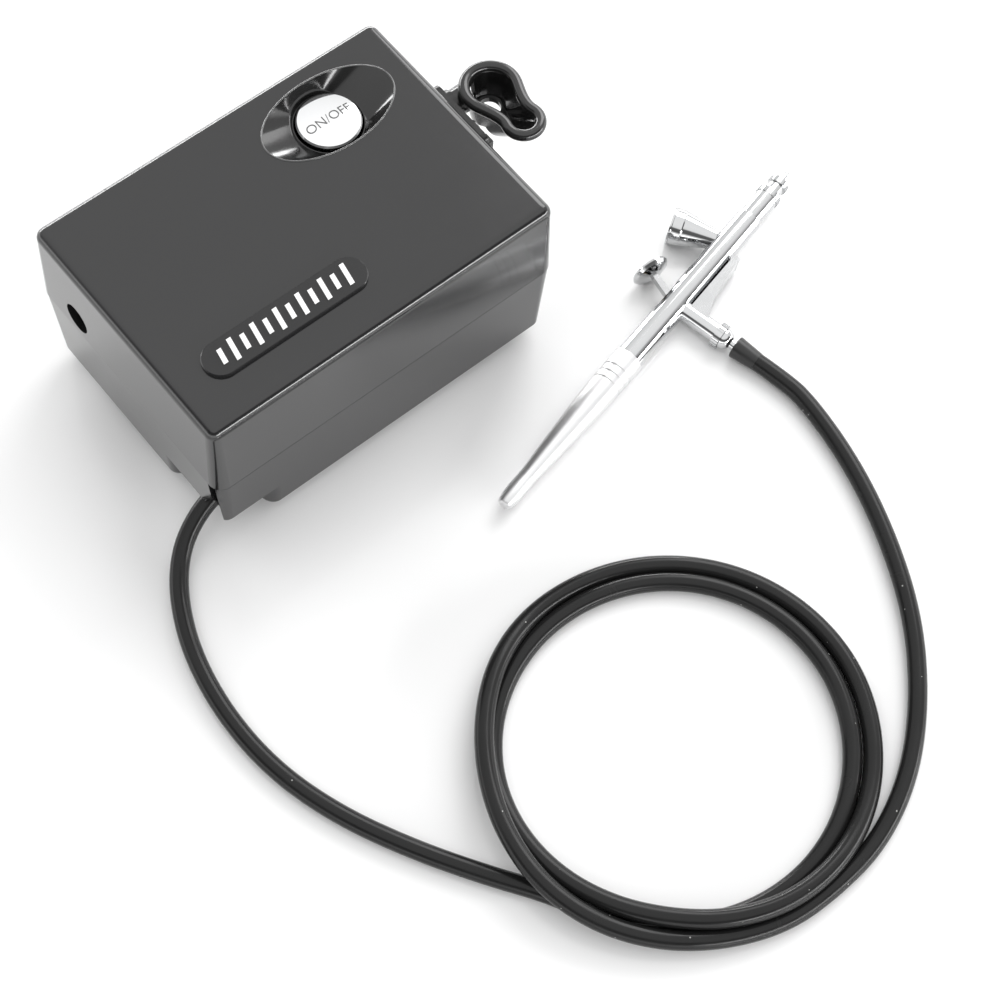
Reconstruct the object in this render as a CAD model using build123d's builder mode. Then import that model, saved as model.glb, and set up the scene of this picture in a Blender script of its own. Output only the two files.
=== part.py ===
from build123d import *
import os
from math import atan, cos, degrees, radians, sin, tan

os.makedirs("parts", exist_ok=True)

# ---------------------------------------------------------------- driving dimensions, in millimetres
# Case. The long side runs along X, the short side along Y, and the table is Z = 0.
CASE_LENGTH, CASE_WIDTH = 130.0, 92.0
CASE_TOP, CASE_BOTTOM = 72.0, 5.0
PARTING = 39.6  # height of the joint between lid and base
PARTING_GAP = 0.5
LID_DRAFT, BASE_DRAFT = 1.28, 1.84  # how far each wall leans in over its own height
WALL = 2.2
CORNER_RADIUS = 4.5
TOP_FILLET = 3.3

# Dish and push button on the lid
DISH = (31.2, 24.5)
DISH_A, DISH_B = 23.7, 13.85
DISH_FLOOR = 66.6
BUTTON_RADIUS, BUTTON_GAP = 10.3, 0.7
BUTTON_RIM, BUTTON_CROWN = 68.2, 69.2
BUTTON_SKIRT = 58.0
SWITCH_TOP = 54.0

# Badge on the lid
BADGE = (-23.0, -25.6)
BADGE_LENGTH, BADGE_HEIGHT = 58.0, 12.0

# Power inlet in the short side wall
JACK_Y, JACK_Z = 25.1, 47.7
JACK_HOLE = 5.2
JACK_FACE_X = -57.0

# Cut away corner of the base, where the hose leaves
NOTCH_X, NOTCH_Y, NOTCH_TOP = -47.4, -19.2, 17.0
NOTCH_ROUND = 5.0
HOSE_Y, HOSE_Z = -32.0, 12.5
HOSE_RADIUS = 3.0
GROMMET_REACH = 2.0

# Feet and case screws
FEET = [(-34, -32), (46, -32), (46, 32), (-46, 32)]
FOOT_RADIUS = 6.0
CASE_SCREWS = [(-12, -39), (57, -39), (57, 39), (-57, 39)]

# Motor and pump, inside the case. The motor's shaft runs along X and the piston along Z.
MOTOR_Y, MOTOR_Z = -6.0, 26.0
MOTOR_RADIUS = 13.75
MOTOR_BACK, MOTOR_FRONT = -34.0, 4.0
SHAFT_RADIUS = 1.15
RUNNING = 0.05
THROW = 1.5  # offset of the eccentric, half the piston's stroke
PUMP_X = 13.0
PISTON_RADIUS, PUMP_BORE = 7.95, 8.0
SHELF_TOP = 42.0
CYLINDER_TOP = 56.0
HEAD_SIZE = 21.0
HEAD_TOP = 64.0
BARB_Y, BARB_Z = -10.0, 60.5

# Airbrush holder on the side wall
HOLDER_X = 79.4
LOBE_Y, LOBE_RADIUS = 4.6, 10.3
SPOUT_Y, SPOUT_RADIUS = -11.3, 7.3
RIM_Z, RIM_RADIUS = 66.0, 1.9
CRADLE_BOTTOM = 54.0
CRADLE_WALL = 1.8
PIVOT_Y, PIVOT_Z = 10.0, 60.5
PIVOT_FACE, PIVOT_SEAT = 68.9, 73.6
BRACKET_X = 63.4
HOLDER_SCREW_Y = -1.5

# Airbrush. It lies on the table at three points: handle, cup rim and hose nut.
BRUSH_TIP = (11.2, -88.1, 4.76)
BRUSH_HEADING, BRUSH_PITCH, BRUSH_ROLL = 13.28, 0.47, 3.58  # degrees
HANDLE_LENGTH = 67.1
BODY_FRONT = 136.2
FLANGE_S, NEEDLE_CAP_S, BRUSH_FRONT = 146.6, 152.8, 159.6
BODY_BACK_RADIUS, BODY_FRONT_RADIUS = 4.8, 4.5
VALVE_S = 93.7  # station of the air valve and the trigger
TRIGGER_LEAN = 20.0
CUP_LEAN = 19.0
CUP_S = 123.9
BRUSH_BORE = 2.9
NEEDLE_RADIUS = 0.6

# Hose along the table: each list is a route of corner points
HOSE_TAIL = [
    (NOTCH_X - GROMMET_REACH, HOSE_Y, HOSE_Z), (-57.5, HOSE_Y, HOSE_Z), (-68, -34, 8.8), (-77.5, -39, 4.3),
    (-86.5, -50.5, 3), (-94, -68, 3), (-97.8, -90, 3), (-96.9, -113, 3), (-90.6, -135.5, 3), (-80, -157.5, 3),
    (-67.5, -178, 3), (-57, -193, 3),
]
HOSE_LEAD = [
    (6, -243.6, 3), (28, -242, 3), (50, -232.6, 3), (69.5, -216.8, 3), (87, -196, 3), (100, -171, 3),
    (109, -145, 3), (113.3, -119, 3),
]
COIL_CENTRE = (1.5, -181.0)
COIL_INNER, COIL_OUTER, COIL_HEIGHT = 51.0, 64.2, 10.0

lid_height = CASE_TOP - PARTING
base_height = PARTING - CASE_BOTTOM
lid_taper = degrees(atan(LID_DRAFT / lid_height))
base_taper = degrees(atan(BASE_DRAFT / base_height))


def lid_wall_x(z):
    """Where the lid's short side wall is at a height."""
    return CASE_LENGTH / 2 - (z - PARTING - PARTING_GAP) * LID_DRAFT / lid_height


from_parting_down = Plane(origin=(0, 0, PARTING), x_dir=(1, 0, 0), z_dir=(0, 0, -1))

# ---------------------------------------------------------------- lid
with BuildPart() as lid_shell:
    with BuildSketch(Plane.XY.offset(PARTING + PARTING_GAP)):
        RectangleRounded(CASE_LENGTH, CASE_WIDTH, CORNER_RADIUS)
    extrude(amount=lid_height - PARTING_GAP, taper=lid_taper)
    fillet(lid_shell.edges().group_by(Axis.Z)[-1], TOP_FILLET)
    with BuildSketch(Plane.XY.offset(PARTING + PARTING_GAP)):
        RectangleRounded(CASE_LENGTH - 2 * WALL, CASE_WIDTH - 2 * WALL, CORNER_RADIUS - WALL)
    extrude(amount=lid_height - PARTING_GAP - WALL, taper=lid_taper, mode=Mode.SUBTRACT)
    with BuildSketch(Plane.XY.offset(PARTING + PARTING_GAP)):
        with Locations(*CASE_SCREWS):
            Circle(3.5)
    extrude(amount=lid_height - WALL)
    with BuildSketch(Plane.XY.offset(PARTING)):
        with Locations(*CASE_SCREWS):
            Circle(1.25)
    extrude(amount=12, mode=Mode.SUBTRACT)
    with BuildSketch(Plane.YZ.offset(-CASE_LENGTH / 2 + WALL)):
        with Locations((JACK_Y, JACK_Z)):
            Circle(7.2)
    extrude(amount=CASE_LENGTH / 2 - WALL + JACK_FACE_X)
    with BuildSketch(Plane.YZ.offset(-CASE_LENGTH / 2 - 1)):
        with Locations((JACK_Y, JACK_Z)):
            Circle(JACK_HOLE)
    extrude(amount=CASE_LENGTH / 2 + 1 + JACK_FACE_X, mode=Mode.SUBTRACT)
    with BuildSketch(Plane.XY.offset(CASE_TOP - 6)):
        with Locations(DISH):
            Ellipse(DISH_A, DISH_B)
    extrude(amount=8, mode=Mode.SUBTRACT)
    with BuildSketch(Plane.YZ.offset(CASE_LENGTH / 2 - 8)):
        with Locations((HOLDER_SCREW_Y, 61), (PIVOT_Y, PIVOT_Z)):
            Circle(1.5)
    extrude(amount=10, mode=Mode.SUBTRACT)
lid_shell.part.label = "lid_shell"
export_step(lid_shell.part, "parts/lid_shell.step")

# ---------------------------------------------------------------- base
with BuildPart() as base_cavity:
    with BuildSketch(from_parting_down):
        RectangleRounded(CASE_LENGTH - 2 * WALL, CASE_WIDTH - 2 * WALL, CORNER_RADIUS - WALL)
    extrude(amount=base_height - WALL, taper=base_taper)
    with BuildSketch(Plane.XY.offset(CASE_BOTTOM)):
        with Locations((NOTCH_X + WALL, NOTCH_Y + WALL)):
            Rectangle(40, 40, align=(Align.MAX, Align.MAX))
    extrude(amount=NOTCH_TOP + WALL - CASE_BOTTOM, mode=Mode.SUBTRACT)

with BuildPart() as base_shell:
    with BuildSketch(from_parting_down):
        RectangleRounded(CASE_LENGTH - 0.3, CASE_WIDTH - 0.3, CORNER_RADIUS)
    extrude(amount=base_height, taper=base_taper)
    fillet(base_shell.edges().group_by(Axis.Z)[0], 1.6)
    with BuildSketch(Plane.XY.offset(CASE_BOTTOM - 1)):
        with Locations((NOTCH_X, NOTCH_Y)):
            Rectangle(40, 40, align=(Align.MAX, Align.MAX))
    extrude(amount=NOTCH_TOP - CASE_BOTTOM + 1, mode=Mode.SUBTRACT)
    notch_ends = [(-CASE_LENGTH / 2 + 1.5, NOTCH_Y, 12), (NOTCH_X, -CASE_WIDTH / 2 + 1.5, 12)]
    for end in notch_ends:
        fillet(base_shell.edges().sort_by_distance(end)[0], NOTCH_ROUND)
    add(base_cavity.part, mode=Mode.SUBTRACT)
    with BuildSketch(Plane.XY.offset(CASE_BOTTOM)):
        with Locations(*CASE_SCREWS):
            Circle(4.4)
    extrude(amount=base_height - PARTING_GAP)
    with BuildSketch(Plane.XY.offset(CASE_BOTTOM - 1)):
        with Locations(*CASE_SCREWS):
            Circle(1.7)
        with Locations(*FEET):
            Circle(2.1)
    extrude(amount=base_height + 1, mode=Mode.SUBTRACT)
    with BuildSketch(Plane.XY.offset(CASE_BOTTOM)):
        with Locations(*CASE_SCREWS):
            Circle(3.1)
    extrude(amount=3.2, mode=Mode.SUBTRACT)
    # the hose's cut-out in the side wall, and the slot above it
    with BuildSketch(Plane.YZ.offset(-CASE_LENGTH / 2 - 2)):
        with BuildLine():
            Polyline(
                (-43.4, NOTCH_TOP - 3), (-34.7, NOTCH_TOP - 3), (-34.7, NOTCH_TOP + 1),
                (-40.6, NOTCH_TOP + 11), (-40.6, PARTING + 2), (-43.4, PARTING + 2), close=True,
            )
        make_face()
    extrude(amount=5.8, mode=Mode.SUBTRACT)
    with BuildSketch(Plane.YZ.offset(NOTCH_X - 1)):
        with Locations((HOSE_Y, HOSE_Z)):
            Circle(3.6)
    extrude(amount=WALL + 2, mode=Mode.SUBTRACT)
    # rib that the pump bracket stands on
    with BuildSketch(Plane.XY.offset(CASE_BOTTOM + 1)):
        with Locations((12, MOTOR_Y)):
            Rectangle(18, 30)
    extrude(amount=WALL + 1)
base_shell.part.label = "base_shell"
export_step(base_shell.part, "parts/base_shell.step")

# ---------------------------------------------------------------- feet and case screws
with BuildPart() as rubber_feet:
    with BuildSketch():
        with Locations(*FEET):
            Circle(FOOT_RADIUS)
    extrude(amount=CASE_BOTTOM)
    chamfer(rubber_feet.edges().group_by(Axis.Z)[0], 0.8)
    with BuildSketch(Plane.XY.offset(CASE_BOTTOM)):
        with Locations(*FEET):
            Circle(2.0)
    extrude(amount=WALL + 1)
rubber_feet.part.label = "rubber_feet"
export_step(rubber_feet.part, "parts/rubber_feet.step")

with BuildPart() as case_screws:
    with BuildSketch(Plane.XY.offset(CASE_BOTTOM + 1.4)):
        with Locations(*CASE_SCREWS):
            Circle(2.8)
    extrude(amount=1.8)
    with BuildSketch(Plane.XY.offset(CASE_BOTTOM + 3.2)):
        with Locations(*CASE_SCREWS):
            Circle(1.4)
    extrude(amount=PARTING + 9 - CASE_BOTTOM - 3.2)
    with BuildSketch(Plane.XY.offset(CASE_BOTTOM + 1.4)):
        with Locations(*CASE_SCREWS):
            Rectangle(3.2, 0.7)
            Rectangle(0.7, 3.2)
    extrude(amount=0.9, mode=Mode.SUBTRACT)
case_screws.part.label = "case_screws"
export_step(case_screws.part, "parts/case_screws.step")

# ---------------------------------------------------------------- dish, button and switch
LEG_X = 13.5
with BuildPart() as button_dish:
    with BuildSketch(Plane.XY.offset(DISH_FLOOR - 1.8)):
        with Locations(DISH):
            Ellipse(DISH_A - 0.05, DISH_B - 0.05)
    extrude(amount=CASE_TOP + 0.15 - DISH_FLOOR + 1.8)
    with BuildSketch(Plane.XY.offset(DISH_FLOOR - 1.8)):
        with Locations(DISH):
            Ellipse(DISH_A + 1.5, DISH_B + 1.5)
    extrude(amount=CASE_TOP - WALL - 0.05 - DISH_FLOOR + 1.8)
    with BuildSketch(Plane.XY.offset(CASE_TOP + 0.16)):
        with Locations(DISH):
            Ellipse(DISH_A - 0.6, DISH_B - 0.6)
    with BuildSketch(Plane.XY.offset(DISH_FLOOR)):
        with Locations(DISH):
            Ellipse(BUTTON_RADIUS + BUTTON_GAP + 0.35, BUTTON_RADIUS + BUTTON_GAP + 0.25)
    loft(mode=Mode.SUBTRACT)
    with BuildSketch(Plane.XY.offset(SWITCH_TOP)):
        with Locations((DISH[0] - LEG_X, DISH[1]), (DISH[0] + LEG_X, DISH[1])):
            Rectangle(3, 8)
    extrude(amount=DISH_FLOOR - 1 - SWITCH_TOP)
    with BuildSketch(Plane.XY.offset(SWITCH_TOP - 1)):
        with Locations(DISH):
            Circle(BUTTON_RADIUS + BUTTON_GAP)
    extrude(amount=CASE_TOP - SWITCH_TOP, mode=Mode.SUBTRACT)
button_dish.part.label = "button_dish"
export_step(button_dish.part, "parts/button_dish.step")

dome_rise, dome_reach = BUTTON_CROWN - BUTTON_RIM, BUTTON_RADIUS - 0.5
dome_radius = (dome_reach**2 + dome_rise**2) / (2 * dome_rise)
dome_centre = BUTTON_CROWN - dome_radius
with BuildPart() as power_button:
    with BuildSketch(Plane.XZ.offset(-DISH[1])):
        with BuildLine():
            left = DISH[0]
            edge = left + BUTTON_RADIUS
            Polyline((left, SWITCH_TOP + 4), (left + 2, SWITCH_TOP + 4), (left + 2, 64.4), (edge - 1.5, 64.4),
                     (edge - 1.5, BUTTON_SKIRT + 2), (edge, BUTTON_SKIRT + 2), (edge, BUTTON_RIM - 0.5),
                     (edge - 0.5, BUTTON_RIM))
            ThreePointArc((edge - 0.5, BUTTON_RIM), (left + 5, dome_centre + (dome_radius**2 - 25) ** 0.5),
                          (left, BUTTON_CROWN))
            Line((left, BUTTON_CROWN), (left, SWITCH_TOP + 4))
        make_face()
    revolve(axis=Axis((DISH[0], DISH[1], 0), (0, 0, 1)))
power_button.part.label = "power_button"
export_step(power_button.part, "parts/power_button.step")

with BuildPart() as switch_plunger:
    with BuildSketch(Plane.XY.offset(SWITCH_TOP - 1.6)):
        with Locations(DISH):
            Rectangle(3, 3)
    extrude(amount=5.6)
switch_plunger.part.label = "switch_plunger"
export_step(switch_plunger.part, "parts/switch_plunger.step")

with BuildPart() as switch_body:
    with BuildSketch(Plane.XY.offset(SWITCH_TOP - 10)):
        with Locations(DISH):
            Rectangle(12, 12)
    extrude(amount=10)
    with BuildSketch(Plane.XY.offset(SWITCH_TOP - 4.2)):
        with Locations(DISH):
            Rectangle(3.2, 3.2)
    extrude(amount=5, mode=Mode.SUBTRACT)
switch_body.part.label = "switch_body"
export_step(switch_body.part, "parts/switch_body.step")

with BuildPart() as switch_frame:
    with BuildSketch(Plane.XY.offset(SWITCH_TOP - 2)):
        with Locations(DISH):
            Rectangle(32, 16)
            Rectangle(12, 12, mode=Mode.SUBTRACT)
    extrude(amount=2)
switch_frame.part.label = "switch_frame"
export_step(switch_frame.part, "parts/switch_frame.step")

SPRING_RADIUS, SPRING_WIRE = 5.2, 0.4
with BuildPart() as button_spring:
    with BuildLine():
        spring_path = Helix(pitch=2.2, height=9.4, radius=SPRING_RADIUS, center=(DISH[0], DISH[1], SWITCH_TOP + 0.45))
    with BuildSketch(Plane(origin=spring_path @ 0, z_dir=spring_path % 0)):
        Circle(SPRING_WIRE)
    sweep(is_frenet=True)
button_spring.part.label = "button_spring"
export_step(button_spring.part, "parts/button_spring.step")

# ---------------------------------------------------------------- badge: a plain plaque with slanted bars
with BuildPart() as badge_plate:
    with BuildSketch(Plane.XY.offset(CASE_TOP)):
        with Locations(BADGE):
            RectangleRounded(BADGE_LENGTH, BADGE_HEIGHT, BADGE_HEIGHT / 2 - 0.1)
    extrude(amount=1.2)
    chamfer(badge_plate.edges().group_by(Axis.Z)[-1], 0.3)
badge_plate.part.label = "badge_plate"
export_step(badge_plate.part, "parts/badge_plate.step")

BAR_COUNT, BAR_PITCH, BAR_SLANT = 12, 4.1, 2.2
with BuildPart() as badge_bars:
    with BuildSketch(Plane.XY.offset(CASE_TOP + 1.2)):
        for index in range(BAR_COUNT):
            middle = BADGE[0] + (index - (BAR_COUNT - 1) / 2) * BAR_PITCH
            half = 2.6 + 1.2 * (index % 2)
            lean = BAR_SLANT * half / BADGE_HEIGHT
            with BuildLine():
                Polyline(
                    (middle - lean - 0.8, BADGE[1] - half), (middle - lean + 0.8, BADGE[1] - half),
                    (middle + lean + 0.8, BADGE[1] + half), (middle + lean - 0.8, BADGE[1] + half), close=True,
                )
            make_face()
    extrude(amount=0.5)
badge_bars.part.label = "badge_bars"
export_step(badge_bars.part, "parts/badge_bars.step")

# ---------------------------------------------------------------- power inlet and board
with BuildPart() as dc_jack:
    with BuildSketch(Plane.YZ.offset(JACK_FACE_X)):
        with Locations((JACK_Y, JACK_Z)):
            Circle(6.6)
    extrude(amount=2)
    with BuildSketch(Plane.YZ.offset(JACK_FACE_X + 2)):
        with Locations((JACK_Y, JACK_Z)):
            Circle(5.0)
    extrude(amount=9)
    with BuildSketch(Plane.YZ.offset(JACK_FACE_X)):
        with Locations((JACK_Y, JACK_Z)):
            Circle(2.85)
            Circle(1.0, mode=Mode.SUBTRACT)
    extrude(amount=9, mode=Mode.SUBTRACT)
dc_jack.part.label = "dc_jack"
export_step(dc_jack.part, "parts/dc_jack.step")

BOARD_X = JACK_FACE_X + 11
with BuildPart() as power_board:
    with BuildSketch(Plane.YZ.offset(BOARD_X)):
        with Locations((JACK_Y, JACK_Z)):
            Rectangle(22, 20)
            with GridLocations(16, 14, 2, 2):
                Circle(1.1, mode=Mode.SUBTRACT)
    extrude(amount=1.6)
power_board.part.label = "power_board"
export_step(power_board.part, "parts/power_board.step")

# ---------------------------------------------------------------- motor, on the axis through MOTOR_Y and MOTOR_Z
motor_axis = Axis((0, MOTOR_Y, MOTOR_Z), (1, 0, 0))
motor_side = Plane(origin=(0, MOTOR_Y, MOTOR_Z), x_dir=(1, 0, 0), z_dir=(0, -1, 0))

with BuildPart() as motor_can:
    with BuildSketch(motor_side):
        with BuildLine():
            Polyline(
                (MOTOR_BACK, 12.75), (MOTOR_BACK, MOTOR_RADIUS), (MOTOR_FRONT - 1, MOTOR_RADIUS),
                (MOTOR_FRONT, MOTOR_RADIUS - 1), (MOTOR_FRONT, 3), (MOTOR_FRONT - 1.2, 3),
                (MOTOR_FRONT - 1.2, 12.75), close=True,
            )
        make_face()
    revolve(axis=motor_axis)
motor_can.part.label = "motor_can"
export_step(motor_can.part, "parts/motor_can.step")

with BuildPart() as motor_end_cap:
    with BuildSketch(motor_side):
        with BuildLine():
            Polyline(
                (MOTOR_BACK - 4, 3), (MOTOR_BACK - 4, 11), (MOTOR_BACK - 2, MOTOR_RADIUS),
                (MOTOR_BACK, MOTOR_RADIUS), (MOTOR_BACK, 3.6), (MOTOR_BACK - 1.5, 3), close=True,
            )
        make_face()
    revolve(axis=motor_axis)
    with BuildSketch(Plane.YZ.offset(MOTOR_BACK - 8)):
        with Locations((MOTOR_Y, MOTOR_Z + 8), (MOTOR_Y, MOTOR_Z - 8)):
            Rectangle(2.8, 0.6)
    extrude(amount=5.5)
motor_end_cap.part.label = "motor_end_cap"
export_step(motor_end_cap.part, "parts/motor_end_cap.step")

with BuildPart() as motor_magnets:
    with BuildSketch(Plane.YZ.offset(MOTOR_BACK + 4)):
        with Locations((MOTOR_Y, MOTOR_Z)):
            Circle(12.7)
            Circle(10.7, mode=Mode.SUBTRACT)
            Rectangle(7, 40, mode=Mode.SUBTRACT)
    extrude(amount=28)
motor_magnets.part.label = "motor_magnets"
export_step(motor_magnets.part, "parts/motor_magnets.step")

with BuildPart() as motor_bushes:
    for start in (MOTOR_BACK - 4, MOTOR_FRONT - 2.4):
        with BuildSketch(Plane.YZ.offset(start)):
            with Locations((MOTOR_Y, MOTOR_Z)):
                Circle(2.98)
                Circle(SHAFT_RADIUS + RUNNING, mode=Mode.SUBTRACT)
        extrude(amount=2.4)
motor_bushes.part.label = "motor_bushes"
export_step(motor_bushes.part, "parts/motor_bushes.step")

with BuildPart() as motor_shaft:
    with BuildSketch(Plane.YZ.offset(MOTOR_BACK - 3.6)):
        with Locations((MOTOR_Y, MOTOR_Z)):
            Circle(SHAFT_RADIUS)
    extrude(amount=PUMP_X + 4 - MOTOR_BACK + 3.6)
motor_shaft.part.label = "motor_shaft"
export_step(motor_shaft.part, "parts/motor_shaft.step")

with BuildPart() as armature:
    with BuildSketch(Plane.YZ.offset(MOTOR_BACK + 6)):
        with Locations((MOTOR_Y, MOTOR_Z)):
            Circle(10)
            Circle(SHAFT_RADIUS, mode=Mode.SUBTRACT)
            with PolarLocations(8, 3):
                Rectangle(6, 2.2, mode=Mode.SUBTRACT)
    extrude(amount=24)
    with BuildSketch(Plane.YZ.offset(MOTOR_BACK + 0.6)):
        with Locations((MOTOR_Y, MOTOR_Z)):
            Circle(2.9)
            Circle(SHAFT_RADIUS, mode=Mode.SUBTRACT)
    extrude(amount=5.4)
armature.part.label = "armature"
export_step(armature.part, "parts/armature.step")

# ---------------------------------------------------------------- pump
with BuildPart() as eccentric:
    with BuildSketch(Plane.YZ.offset(PUMP_X - 3)):
        with Locations((MOTOR_Y + THROW, MOTOR_Z)):
            Circle(3.2)
        with Locations((MOTOR_Y, MOTOR_Z)):
            Circle(SHAFT_RADIUS, mode=Mode.SUBTRACT)
    extrude(amount=6)
eccentric.part.label = "eccentric"
export_step(eccentric.part, "parts/eccentric.step")

BIG_END = 3.2 + 2 * THROW + 0.2  # bore that clears the eccentric at every angle and stroke
with BuildPart() as connecting_rod:
    with BuildSketch(Plane.YZ.offset(PUMP_X - 2.5)):
        with Locations((MOTOR_Y, MOTOR_Z)):
            Circle(BIG_END + 2)
        with Locations((MOTOR_Y, (MOTOR_Z + 48) / 2)):
            Rectangle(5, 48 - MOTOR_Z)
        with Locations((MOTOR_Y, MOTOR_Z)):
            Circle(BIG_END, mode=Mode.SUBTRACT)
    extrude(amount=5)
connecting_rod.part.label = "connecting_rod"
export_step(connecting_rod.part, "parts/connecting_rod.step")

with BuildPart() as piston:
    with BuildSketch(Plane.XY.offset(48)):
        with Locations((PUMP_X, MOTOR_Y)):
            Circle(PISTON_RADIUS)
    extrude(amount=4)
piston.part.label = "piston"
export_step(piston.part, "parts/piston.step")

with BuildPart() as pump_cylinder:
    with BuildSketch(Plane.XY.offset(SHELF_TOP)):
        with Locations((PUMP_X, MOTOR_Y)):
            Circle(10.3)
            Circle(PUMP_BORE, mode=Mode.SUBTRACT)
    extrude(amount=CYLINDER_TOP - SHELF_TOP)
pump_cylinder.part.label = "pump_cylinder"
export_step(pump_cylinder.part, "parts/pump_cylinder.step")

HEAD_SCREW_PITCH = 17.2
with BuildPart() as pump_bracket:
    with BuildSketch(Plane.YZ.offset(MOTOR_FRONT)):
        with Locations((MOTOR_Y, (CASE_BOTTOM + WALL + 2 + SHELF_TOP) / 2)):
            Rectangle(26, SHELF_TOP - CASE_BOTTOM - WALL - 2)
        with Locations((MOTOR_Y, MOTOR_Z)):
            Circle(5, mode=Mode.SUBTRACT)
    extrude(amount=2.5)
    with BuildSketch(Plane.XY.offset(SHELF_TOP - 2)):
        with Locations((PUMP_X + 1.5, MOTOR_Y)):
            Rectangle(22, 26)
    extrude(amount=2)
    with BuildSketch(Plane.XY.offset(CASE_BOTTOM + WALL + 2)):
        with Locations((12, MOTOR_Y)):
            Rectangle(16, 26)
            with GridLocations(0, 20, 1, 2):
                Circle(1.3, mode=Mode.SUBTRACT)
    extrude(amount=1.8)
    with BuildSketch(Plane.XY.offset(SHELF_TOP - 3)):
        with Locations((PUMP_X, MOTOR_Y)):
            Circle(8.2)
            with GridLocations(HEAD_SCREW_PITCH, HEAD_SCREW_PITCH, 2, 2):
                Circle(1.1)
    extrude(amount=4, mode=Mode.SUBTRACT)
pump_bracket.part.label = "pump_bracket"
export_step(pump_bracket.part, "parts/pump_bracket.step")

with BuildPart() as bracket_screws:
    with BuildSketch(Plane.XY.offset(CASE_BOTTOM + 1.5)):
        with Locations((12, MOTOR_Y)):
            with GridLocations(0, 20, 1, 2):
                Circle(1.25)
    extrude(amount=WALL + 2.3)
    with BuildSketch(Plane.XY.offset(CASE_BOTTOM + WALL + 3.8)):
        with Locations((12, MOTOR_Y)):
            with GridLocations(0, 20, 1, 2):
                Circle(2.4)
    extrude(amount=1.6)
bracket_screws.part.label = "bracket_screws"
export_step(bracket_screws.part, "parts/bracket_screws.step")

with BuildPart() as head_gasket:
    with BuildSketch(Plane.XY.offset(CYLINDER_TOP)):
        with Locations((PUMP_X, MOTOR_Y)):
            RectangleRounded(HEAD_SIZE, HEAD_SIZE, 2)
            Circle(PUMP_BORE, mode=Mode.SUBTRACT)
            with GridLocations(HEAD_SCREW_PITCH, HEAD_SCREW_PITCH, 2, 2):
                Circle(1.2, mode=Mode.SUBTRACT)
    extrude(amount=0.6)
head_gasket.part.label = "head_gasket"
export_step(head_gasket.part, "parts/head_gasket.step")

with BuildPart() as valve_plate:
    with BuildSketch(Plane.XY.offset(CYLINDER_TOP + 0.6)):
        with Locations((PUMP_X, MOTOR_Y)):
            RectangleRounded(HEAD_SIZE, HEAD_SIZE, 2)
            with GridLocations(HEAD_SCREW_PITCH, HEAD_SCREW_PITCH, 2, 2):
                Circle(1.2, mode=Mode.SUBTRACT)
            with GridLocations(7, 0, 2, 1):
                Circle(1.2, mode=Mode.SUBTRACT)
    extrude(amount=1)
valve_plate.part.label = "valve_plate"
export_step(valve_plate.part, "parts/valve_plate.step")

HEAD_BOTTOM = CYLINDER_TOP + 1.6
with BuildPart() as pump_head:
    with BuildSketch(Plane.XY.offset(HEAD_BOTTOM)):
        with Locations((PUMP_X, MOTOR_Y)):
            RectangleRounded(HEAD_SIZE, HEAD_SIZE, 2)
    extrude(amount=HEAD_TOP - HEAD_BOTTOM)
    with BuildSketch(Plane.XY.offset(HEAD_BOTTOM)):
        with Locations((PUMP_X - 3.6, MOTOR_Y), (PUMP_X + 3.6, MOTOR_Y)):
            RectangleRounded(5.6, 11, 1)
    extrude(amount=4.4, mode=Mode.SUBTRACT)
    with BuildSketch(Plane.XY.offset(HEAD_BOTTOM)):
        with Locations((PUMP_X, MOTOR_Y)):
            with GridLocations(HEAD_SCREW_PITCH, HEAD_SCREW_PITCH, 2, 2):
                Circle(1.2)
    extrude(amount=HEAD_TOP - HEAD_BOTTOM, mode=Mode.SUBTRACT)
    with BuildSketch(Plane.XY.offset(HEAD_TOP - 3)):
        with Locations((PUMP_X + 3.6, MOTOR_Y)):
            Circle(1.2)
    extrude(amount=4, mode=Mode.SUBTRACT)
    with BuildSketch(Plane.YZ.offset(-3)):
        with Locations((BARB_Y, BARB_Z)):
            Circle(2.2)
    extrude(amount=PUMP_X - HEAD_SIZE / 2 + 3.5)
    with BuildSketch(Plane.YZ.offset(-3)):
        with Locations((BARB_Y, BARB_Z)):
            Circle(1.1)
    extrude(amount=PUMP_X - 3.6 + 3, mode=Mode.SUBTRACT)
pump_head.part.label = "pump_head"
export_step(pump_head.part, "parts/pump_head.step")

with BuildPart() as head_screws:
    with BuildSketch(Plane.XY.offset(SHELF_TOP - 2)):
        with Locations((PUMP_X, MOTOR_Y)):
            with GridLocations(HEAD_SCREW_PITCH, HEAD_SCREW_PITCH, 2, 2):
                Circle(1.05)
    extrude(amount=HEAD_TOP - SHELF_TOP + 2)
    with BuildSketch(Plane.XY.offset(HEAD_TOP)):
        with Locations((PUMP_X, MOTOR_Y)):
            with GridLocations(HEAD_SCREW_PITCH, HEAD_SCREW_PITCH, 2, 2):
                Circle(2)
    extrude(amount=1.6)
head_screws.part.label = "head_screws"
export_step(head_screws.part, "parts/head_screws.step")

with BuildPart() as inlet_filter:
    with BuildSketch(Plane.XY.offset(HEAD_TOP)):
        with Locations((PUMP_X + 3.6, MOTOR_Y)):
            Circle(4)
    extrude(amount=2.4)
inlet_filter.part.label = "inlet_filter"
export_step(inlet_filter.part, "parts/inlet_filter.step")


# ---------------------------------------------------------------- tubes, wires and hose
def corner_radii(points, share=0.45):
    """The largest arc that the two runs at each corner leave room for."""
    radii = []
    for before, corner, after in zip(points, points[1:], points[2:]):
        arriving, leaving = Vector(*corner) - Vector(*before), Vector(*after) - Vector(*corner)
        half_turn = radians(arriving.get_angle(leaving)) / 2
        radii.append(share * min(arriving.length, leaving.length) / tan(half_turn))
    return radii


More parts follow.
